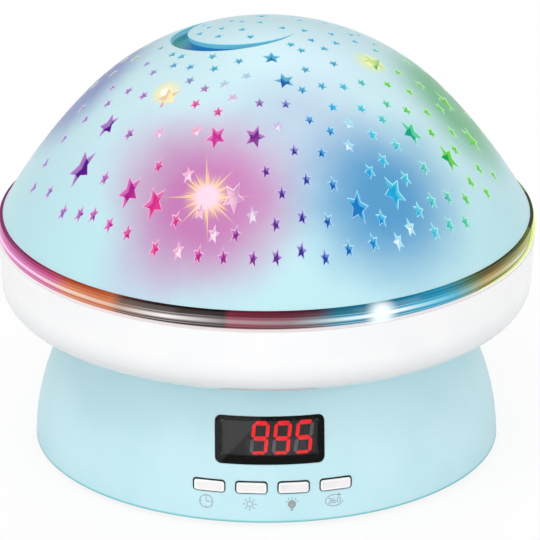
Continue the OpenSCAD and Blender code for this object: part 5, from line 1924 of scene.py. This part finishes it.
@dataclass
class Prints:
    """The grey prints under the keys: a clock, a sun, a bulb and a turning arrow round 360."""

    ball_r: float = 56.4
    proud: float = 0.03
    sunk: float = 0.05
    thin: float = 0.14
    line: float = 0.17
    z: float = 5.9
    middles: tuple[float, ...] = (-15.1, -4.8, 5.2, 15.3)
    grain: float = 0.3
    # half width, half height and line width of the number's digits
    digit: Point = (0.391, 0.62, 0.15)

    def stroke(
        self, shape: Shape, middle: float, path: Sequence[Pair], width: float,
        closed: bool = False,
    ) -> None:
        """Adds a thin printed line that follows the wall.

        Args:
            shape: The bmesh that gets it.
            middle: X of the print's middle.
            path: The line, in millimetres round the print's middle.
            width: Width of the line.
            closed: Whether the line closes on itself.
        """
        line = np.array(path, float)
        steps = []
        for start, end in zip(line, np.roll(line, -1, axis=0) if closed else line[1:]):
            count = max(1, math.ceil(float(np.linalg.norm(end - start)) / self.grain))
            steps.extend(start + (end - start) * k / count for k in range(count))
        run = np.array(steps if closed else [*steps, line[-1]])
        if closed:
            tangent = np.roll(run, -1, axis=0) - np.roll(run, 1, axis=0)
        else:
            tangent = np.gradient(run, axis=0)
        tangent = tangent / np.linalg.norm(tangent, axis=1, keepdims=True)
        across = np.stack([-tangent[:, 1], tangent[:, 0]], axis=1) * width / 2
        rows = [
            [self.on_wall(shape, middle, point, lift) for point, lift in (
                (centre - side, self.proud), (centre + side, self.proud),
                (centre + side, -self.sunk), (centre - side, -self.sunk),
            )]
            for centre, side in zip(run, across)
        ]
        for one, two in zip(rows, rows[1:] + rows[:1] if closed else rows[1:]):
            bridge(shape, one, two)
        if not closed:
            shape.faces.new(rows[0][::-1])
            shape.faces.new(rows[-1])

    def on_wall(self, shape: Shape, middle: float, point: Sequence[float], lift: float) -> Corner:
        """Adds a vertex on the base's wall, lifted off it."""
        x, z = middle + point[0], self.z + point[1]
        radius = self.ball_r + lift
        return shape.verts.new((x * MM, -math.sqrt(radius**2 - x**2 - z**2) * MM, z * MM))

    def fill(self, shape: Shape, middle: float, outline: Sequence[Pair]) -> None:
        """Adds a filled printed patch that follows the wall.

        Args:
            shape: The bmesh that gets it.
            middle: X of the print's middle.
            outline: The patch's outline, in millimetres round the print's middle.
        """
        top, low = (
            [self.on_wall(shape, middle, point, lift) for point in outline]
            for lift in (self.proud, -self.sunk)
        )
        bridge(shape, top, low)
        shape.faces.new(top)
        shape.faces.new(low[::-1])

    @staticmethod
    def arc(
        rx: float, ry: float, start: float, end: float, count: int = 40,
        cx: float = 0, cy: float = 0,
    ) -> list[Pair]:
        """Gives points along an oval arc.

        Args:
            rx: Half of the oval's width.
            ry: Half of its height.
            start: First angle, in degrees.
            end: Last angle.
            count: Number of points.
            cx: X of the oval's middle.
            cy: Y of its middle.

        Returns:
            The points.
        """
        angles = np.radians(np.linspace(start, end, count))
        return [(cx + rx * math.cos(a), cy + ry * math.sin(a)) for a in angles]

    def spokes(
        self, shape: Shape, middle: float, angles: Sequence[float], spans: Sequence[Pair],
        cy: float = 0.0,
    ) -> None:
        """Adds rays round a point.

        Args:
            shape: The bmesh that gets them.
            middle: X of the print's middle.
            angles: Direction of each ray, in degrees.
            spans: Inner and outer radius, used in turn.
            cy: Height of the rays' middle.
        """
        for i, angle in enumerate(angles):
            c, s = math.cos(math.radians(angle)), math.sin(math.radians(angle))
            ends = [(radius * c, cy + radius * s) for radius in spans[i % len(spans)]]
            self.stroke(shape, middle, ends, self.line)

    def clock(self, shape: Shape, middle: float) -> None:
        """Adds the clock: a ring, four ticks and two hands."""
        self.stroke(shape, middle, self.arc(1.55, 1.55, 0, 351, 40), self.line, closed=True)
        self.spokes(shape, middle, (0, 90, 180, 270), ((1.05, 1.35),))
        self.stroke(shape, middle, [(0.0, 0.85), (0.0, 0.0), (0.75, 0.0)], self.line)

    def sun(self, shape: Shape, middle: float) -> None:
        """Adds the sun: a small rounded diamond and eight rays."""
        self.stroke(shape, middle, self.arc(0.72, 0.72, 0, 345, 8), 0.16, closed=True)
        self.spokes(shape, middle, range(0, 360, 45), ((1.0, 1.72), (1.05, 1.62)))

    def bulb(self, shape: Shape, middle: float) -> None:
        """Adds the bulb: a filled head with its base, and five rays over it."""
        head = self.arc(0.98, 0.98, -55, 235, 30, 0, -0.1)
        self.fill(shape, middle, [*head, (-0.42, -1.15), (0.42, -1.15)])
        for height, half in ((-1.38, 0.38), (-1.62, 0.3)):
            self.stroke(shape, middle, [(-half, height), (half, height)], self.thin)
        self.spokes(shape, middle, (24, 57, 90, 123, 156), ((1.25, 1.7),), -0.1)

    def turning(self, shape: Shape, middle: float) -> None:
        """Adds the turning arrow: an open oval with its head, round the number 360."""
        self.stroke(shape, middle, self.arc(2.1, 1.4, 62, 350, 60), self.line)
        self.fill(shape, middle, [(0.85, 1.62), (0.98, 0.93), (1.62, 1.22)])
        half, tall, line = self.digit
        three = [
            *self.arc(half, tall / 2, 150, -80, 14, -1.12, tall / 2),
            *self.arc(half, tall / 2, 80, -150, 14, -1.12, -tall / 2),
        ]
        self.stroke(shape, middle, three, line)
        six = self.arc(half, tall * 0.52, 0, 348, 24, 0, -tall * 0.48)
        self.stroke(shape, middle, six, line, closed=True)
        self.stroke(shape, middle, self.arc(half, tall * 1.1, 100, 176, 10, 0.0, -0.1), line)
        self.stroke(shape, middle, self.arc(half, tall, 0, 348, 30, 1.08), line, closed=True)

    def build(self) -> None:
        """Builds the four prints on the base."""
        # pad-printed ink: thin, dull and slightly uneven
        ink = MouldedPlastic(
            "pad_ink_grey", 0.55, colour="#969BA0", cloud="#A3A8AC", cloud_mm=0.8,
            grain_depth_mm=0.004,
        ).material()
        drawings = (self.clock, self.sun, self.bulb, self.turning)
        for middle, draw in zip(self.middles, drawings):
            name = "print_" + draw.__name__
            shape = bmesh.new()
            draw(shape, middle)
            piece = to_object(name, from_bmesh(name, shape, [ink], 40))
            tag_piece(piece, Body.BASE)


# ---------------------------------------------------------------- underside and fittings


@dataclass(frozen=True)
class Screw:
    """A pan-head screw with a cross recess, head down and its crown at the origin.

    Attributes:
        head_r: The head's radius.
        head_h: The head's height.
        shank_r: The shank's radius.
        length: Length over all.
        steps: Corners of its round outlines.
        arm: Reach of the recess's arms, as a share of the head's radius.
        arm_half: Half their width, as the same.
        between: Place of a point between two arms, as a share of their reach.
        crown: Radius of the flat crown, as a share of the head's.
        shoulder: Radius and depth below it, as shares of the head's.
        brim: Depth at which the head is at its widest, as a share of its height.
        recess: Depth of the recess, as the same.
        taper: Size of the recess's floor against its mouth.
        tip: Radius of the shank's end, as a share of the shank's.
    """

    head_r: float
    head_h: float
    shank_r: float
    length: float
    steps: int = 36
    arm: float = 0.58
    arm_half: float = 0.15
    between: float = 0.8
    crown: float = 0.72
    shoulder: Pair = (0.9, 0.22)
    brim: float = 0.55
    recess: float = 0.6
    taper: float = 0.8
    tip: float = 0.3

    def mesh(self) -> Mesh:
        """Builds the screw's mesh."""
        arm, half = self.head_r * self.arm, self.head_r * self.arm_half
        cross = np.array([
            (arm, -half), (arm, half), (half, half), (half, arm), (-half, arm), (-half, half),
            (-arm, half), (-arm, -half), (-half, -half), (-half, -arm), (half, -arm), (half, -half),
        ])
        crown_r, floor_z = self.head_r * self.crown, self.head_h * self.recess
        middle = np.array([(arm * self.between, arm * self.between)])
        plan, cells = pierced_sheet(circle(self.steps) * crown_r, [cross], middle)
        shape = bmesh.new()
        crown = [shape.verts.new((x * MM, y * MM, 0)) for x, y in plan]
        for cell in cells:
            shape.faces.new([crown[i] for i in cell])
        upper = [shape.verts.new((x * MM, y * MM, 0)) for x, y in cross]
        small = cross * self.taper
        floor = [shape.verts.new((x * MM, y * MM, floor_z * MM)) for x, y in small]
        bridge(shape, upper, floor)
        shape.faces.new(floor)
        lathe(shape, [
            (crown_r, 0), (self.head_r * self.shoulder[0], self.head_h * self.shoulder[1]),
            (self.head_r, self.head_h * self.brim), (self.head_r, self.head_h),
            (self.shank_r, self.head_h), (self.shank_r, self.length - self.shank_r),
            (self.shank_r * self.tip, self.length), (0, self.length),
        ], self.steps)
        return from_bmesh("screw_item", shape, sharp_deg=30)


@dataclass
class Fittings:
    """What is under the base and on the lamp board: feet and screws."""

    finishes: dict[Slot, Material]
    foot_r: float = 5.0
    foot_top: float = 2.2
    foot_soft: float = 0.35
    foot_circle: float = 46.04
    foot_dirs: Sequence[float] = (45.0, 135.0, 225.0, 315.0)
    groove: float = 0.12
    groove_radii: Sequence[float] = (1.0, 2.4, 3.8)
    screw_circle: float = 49.6
    screw_dirs: Sequence[float] = (-20.0, 20.0, 160.0, 200.0)
    screw_turns: Sequence[float] = (12.0, 50.0, 31.0, 75.0)
    screw_z: float = 1.6
    plate_screw: Screw = Screw(2.75, 1.3, 1.45, 9.1)
    board_circle: float = 10.75

    def foot_item(self) -> Mesh:
        """Builds a foot: a pad with a soft edge and three shallow grooves in its sole."""
        shape = bmesh.new()
        r, soft, deep = self.foot_r, self.foot_soft, self.groove
        profile: list[Pair] = [(0, 0)]
        for start in self.groove_radii:
            steps = ((0.0, 0.0), (0.1, deep), (0.4, deep), (0.5, 0.0))
            profile.extend((start + step, z) for step, z in steps)
        profile += [(r - soft, 0), (r - soft * 0.3, soft * 0.3), (r, soft), (r, self.foot_top)]
        lathe(shape, [*profile, (0, self.foot_top)], 48)
        return from_bmesh("foot_item", shape)

    def build(self) -> None:
        """Builds the feet, the plate's screws and the lamp board's screws."""
        low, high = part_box("lamp_board_screws")
        board_screw = Screw(1.6, 0.9, 0.8, (high.z - low.z) / MM)
        rows = (
            ("rubber_pads", self.foot_item(), around(self.foot_circle, self.foot_dirs, 0.0),
             [(0, 0, 0)] * 4, Slot.RUBBER, "rubber_feet"),
            ("cross_head_screws", self.plate_screw.mesh(),
             around(self.screw_circle, self.screw_dirs, self.screw_z),
             [(0, 0, math.radians(turn)) for turn in self.screw_turns], Slot.STEEL, "plate_screws"),
            ("lamp_board_fixings", board_screw.mesh(),
             around(self.board_circle, (0, 180), high.z / MM),
             [(math.pi, 0, turn) for turn in (0.3, 1.0)], Slot.STEEL, "lamp_board_screws"),
        )
        for name, item, places, turns, slot, node in rows:
            piece = repeat_item(name, item, places, turns, self.finishes[slot])
            tag_piece(piece, Body.BASE, [node])


# ---------------------------------------------------------------- carried-over nodes and the scene


# CAD nodes whose shape is right, with the slot that dresses each
KEPT_NODES: dict[Slot, Sequence[str]] = {
    Slot.BLUE_SHELL: ("base_housing", "base_plate", "battery_door"),
    Slot.WHITE_GLOSS: ("collar", "lamp_post", "turntable"),
    Slot.CLEAR_RING: ("light_ring",),
    Slot.INNER_DOME: ("inner_dome",),
    Slot.SMOKE_WINDOW: ("display_window",),
    Slot.BLACK_BODY: ("display_block", "key_switches"),
    Slot.LIT_BAR: ("lit_bars",),
    Slot.DARK_BAR: ("dark_bars",),
    Slot.CIRCUIT_BOARD: ("main_board", "inlet_board", "ring_board"),
    Slot.LAMP_BOARD: ("lamp_board",),
    Slot.RING_LAMP: ("ring_lamps",),
    Slot.STEEL: (
        "contact_plates", "contact_springs", "collar_screws", "motor_screws", "motor_shaft",
        "power_inlet",
    ),
    Slot.MOTOR_CAN: ("gear_motor",),
    Slot.CELL_WRAP: ("battery_cells",),
    Slot.TRAY: ("battery_tray",),
    Slot.NYLON: ("spur_gear", "drive_pinion", "thrust_washer"),
    Slot.LAMP_WARM: ("lamp_warm",),
    Slot.LAMP_RED: ("lamp_red",),
    Slot.LAMP_GREEN: ("lamp_green",),
    Slot.LAMP_BLUE: ("lamp_blue",),
}


def dress_kept_nodes(finishes: dict[Slot, Material]) -> None:
    """Gives each CAD node that stays its finish.

    Args:
        finishes: Slot to material.
    """
    # the same matt ABS as the plate, with a teal line of painted shade where the wall's foot meets
    # the table
    housing = MouldedPlastic(
        "matt_abs_pale_blue_shaded_foot", 0.42, lower="#74C9CE", lower_z=(1.35, 1.9), **BLUE_ABS,
    ).material()
    for slot, names in KEPT_NODES.items():
        for name in names:
            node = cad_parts[name]
            for holder in node.material_slots:
                holder.material = housing if name == "base_housing" else finishes[slot]
            log.info("%s: kept, %s", name, node.material_slots[0].material.name)


def way_to(azimuth_deg: float, elevation_deg: float) -> Vector:
    """Gives the unit direction from the object to a place round it."""
    a, e = math.radians(azimuth_deg), math.radians(elevation_deg)
    return Vector((math.sin(a) * math.cos(e), -math.cos(a) * math.cos(e), math.sin(e)))


@dataclass(frozen=True)
class Softbox:
    """An area lamp that points at the object.

    Attributes:
        name: Name of the lamp.
        azimuth: Direction from the front, in degrees.
        elevation: Height above the table, in degrees.
        distance: Distance in metres.
        size: Width in metres.
        power: Power in watts.
        roll: Turn round its own axis, in degrees.
        height: Height in metres; 0 makes it square.
        mirrored: Whether glossy surfaces show the lamp.
    """

    name: str
    azimuth: float
    elevation: float
    distance: float
    size: float
    power: float
    roll: float = 0.0
    height: float = 0.0
    mirrored: bool = True

    def add(self, aim: Vector) -> None:
        """Adds the lamp, pointing at a place."""
        data = bpy.data.lights.new(self.name, "AREA")
        data.energy, data.size = self.power, self.size
        if self.height:
            data.shape, data.size_y = "RECTANGLE", self.height
        lamp = bpy.data.objects.new(self.name, data)
        way = way_to(self.azimuth, self.elevation)
        lamp.location = aim + way * self.distance
        lamp.rotation_euler = (-way).to_track_quat("-Z", "Y").to_euler()
        lamp.rotation_euler.rotate_axis("Z", math.radians(self.roll))
        lamp.visible_glossy = self.mirrored
        bpy.context.scene.collection.objects.link(lamp)


@dataclass
class Studio:
    """The camera, the lamps, the pale world and the floor."""

    elevation_deg: float = 22.41
    azimuth_deg: float = -0.9
    distance: float = 1.521
    aim: Point = (0.00087, 0.0, 0.0428)
    lamp_aim: Point = (0.0, 0.0, 0.05)
    focal_px: float = 6260.0
    frame_px: float = 540.0
    sensor_mm: float = 36.0
    room: float = 0.68
    gloss_room: float = 0.25
    paper: str = "#F4F4F4"
    paper_glow: float = 0.88
    floor_radii: Pair = (0.05, 4.0)
    floor_steps: int = 96
    lamps: Sequence[Softbox] = (
        Softbox("top_softbox", -25, 66, 1.3, 0.8, 4.8),
        Softbox("left_softbox", -52, 14, 1.4, 0.7, 2.3),
        Softbox("right_softbox", 50, 14, 1.4, 0.7, 2.9),
        # a low fill that reaches the wall under the collar, and that the window doesn't mirror
        Softbox("front_fill", 4, 3, 1.3, 0.7, 1.1, mirrored=False),
        Softbox("back_softbox", 170, 50, 1.4, 0.8, 3.0),
        # a narrow card whose slanting edge shows as the grey sheen at the window's left
        Softbox("window_card", -19.5, 22, 1.3, 0.34, 0.4, roll=-38.0, height=0.9),
    )

    clip: Pair = (0.05, 20.0)

    def camera(self) -> None:
        """Adds the camera at the viewing angle."""
        data = bpy.data.cameras.new("camera")
        data.sensor_width = self.sensor_mm
        data.lens = self.focal_px / self.frame_px * self.sensor_mm
        data.clip_start, data.clip_end = self.clip
        camera = bpy.data.objects.new("camera", data)
        way = way_to(self.azimuth_deg, self.elevation_deg)
        camera.location = Vector(self.aim) + way * self.distance
        camera.rotation_euler = (-way).to_track_quat("-Z", "Y").to_euler()
        bpy.context.scene.collection.objects.link(camera)
        bpy.context.scene.camera = camera

    def world(self) -> None:
        """Makes the world a pale grey light that the camera and glass see as white."""
        world = bpy.data.worlds.new("pale_room")
        tree = empty_tree(world)
        path = outputs(tree, "ShaderNodeLightPath")
        seen = path["Is Camera Ray"].math("MAXIMUM", path["Is Transmission Ray"])
        # gloss sees a dim room, so that the dark window and the lit ring keep their depth
        plain = mix(path["Is Glossy Ray"], self.room, self.gloss_room)
        strength = mix(seen, plain, 1.0)
        glow = step(tree, "ShaderNodeBackground", {"Color": WHITE, "Strength": strength})
        add_node(tree, "ShaderNodeOutputWorld", {"Surface": glow})
        bpy.context.scene.world = world

    def floor(self) -> None:
        """Adds the white floor: it keeps the shadow, and is open from below and under the base."""
        count = self.floor_steps
        points = [(x * r, y * r, 0.0) for r in self.floor_radii for x, y in circle(count)]
        after = [(k + 1) % count for k in range(count)]
        mesh = bpy.data.meshes.new("floor")
        cells = [(k, count + k, count + after[k], after[k]) for k in range(count)]
        mesh.from_pydata(points, [], cells)
        material = bpy.data.materials.new("white_paper")
        tree = empty_tree(material)
        path = outputs(tree, "ShaderNodeLightPath")
        paper = step(tree, "ShaderNodeBsdfDiffuse", {"Color": linear(self.paper)})
        glow = step(tree, "ShaderNodeEmission", {"Color": WHITE, "Strength": 1.0})
        seen = path["Is Camera Ray"] * self.paper_glow
        top = step(tree, "ShaderNodeMixShader", {0: seen, 1: paper, 2: glow})
        clear = step(tree, "ShaderNodeBsdfTransparent")
        back = step(tree, "ShaderNodeNewGeometry", output="Backfacing")
        both = step(tree, "ShaderNodeMixShader", {0: back, 1: top, 2: clear})
        add_node(tree, "ShaderNodeOutputMaterial", {"Surface": both})
        mesh.materials.append(material)
        to_object("floor", mesh)

    def build(self) -> None:
        """Adds the camera, the lamps, the world and the floor."""
        self.camera()
        self.world()
        self.floor()
        for lamp in self.lamps:
            lamp.add(Vector(self.lamp_aim))
        bpy.context.scene.view_settings.view_transform = "Standard"


def main() -> None:
    """Builds the scene, piece by piece."""
    logging.basicConfig(level=logging.INFO, format="%(name)s: %(message)s")
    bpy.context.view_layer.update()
    Studio().build()
    finishes = make_finishes()
    Dome(finishes).build()
    Keys(finishes).build()
    Prints().build()
    Fittings(finishes).build()
    dress_kept_nodes(finishes)


if __name__ == "__main__":
    main()
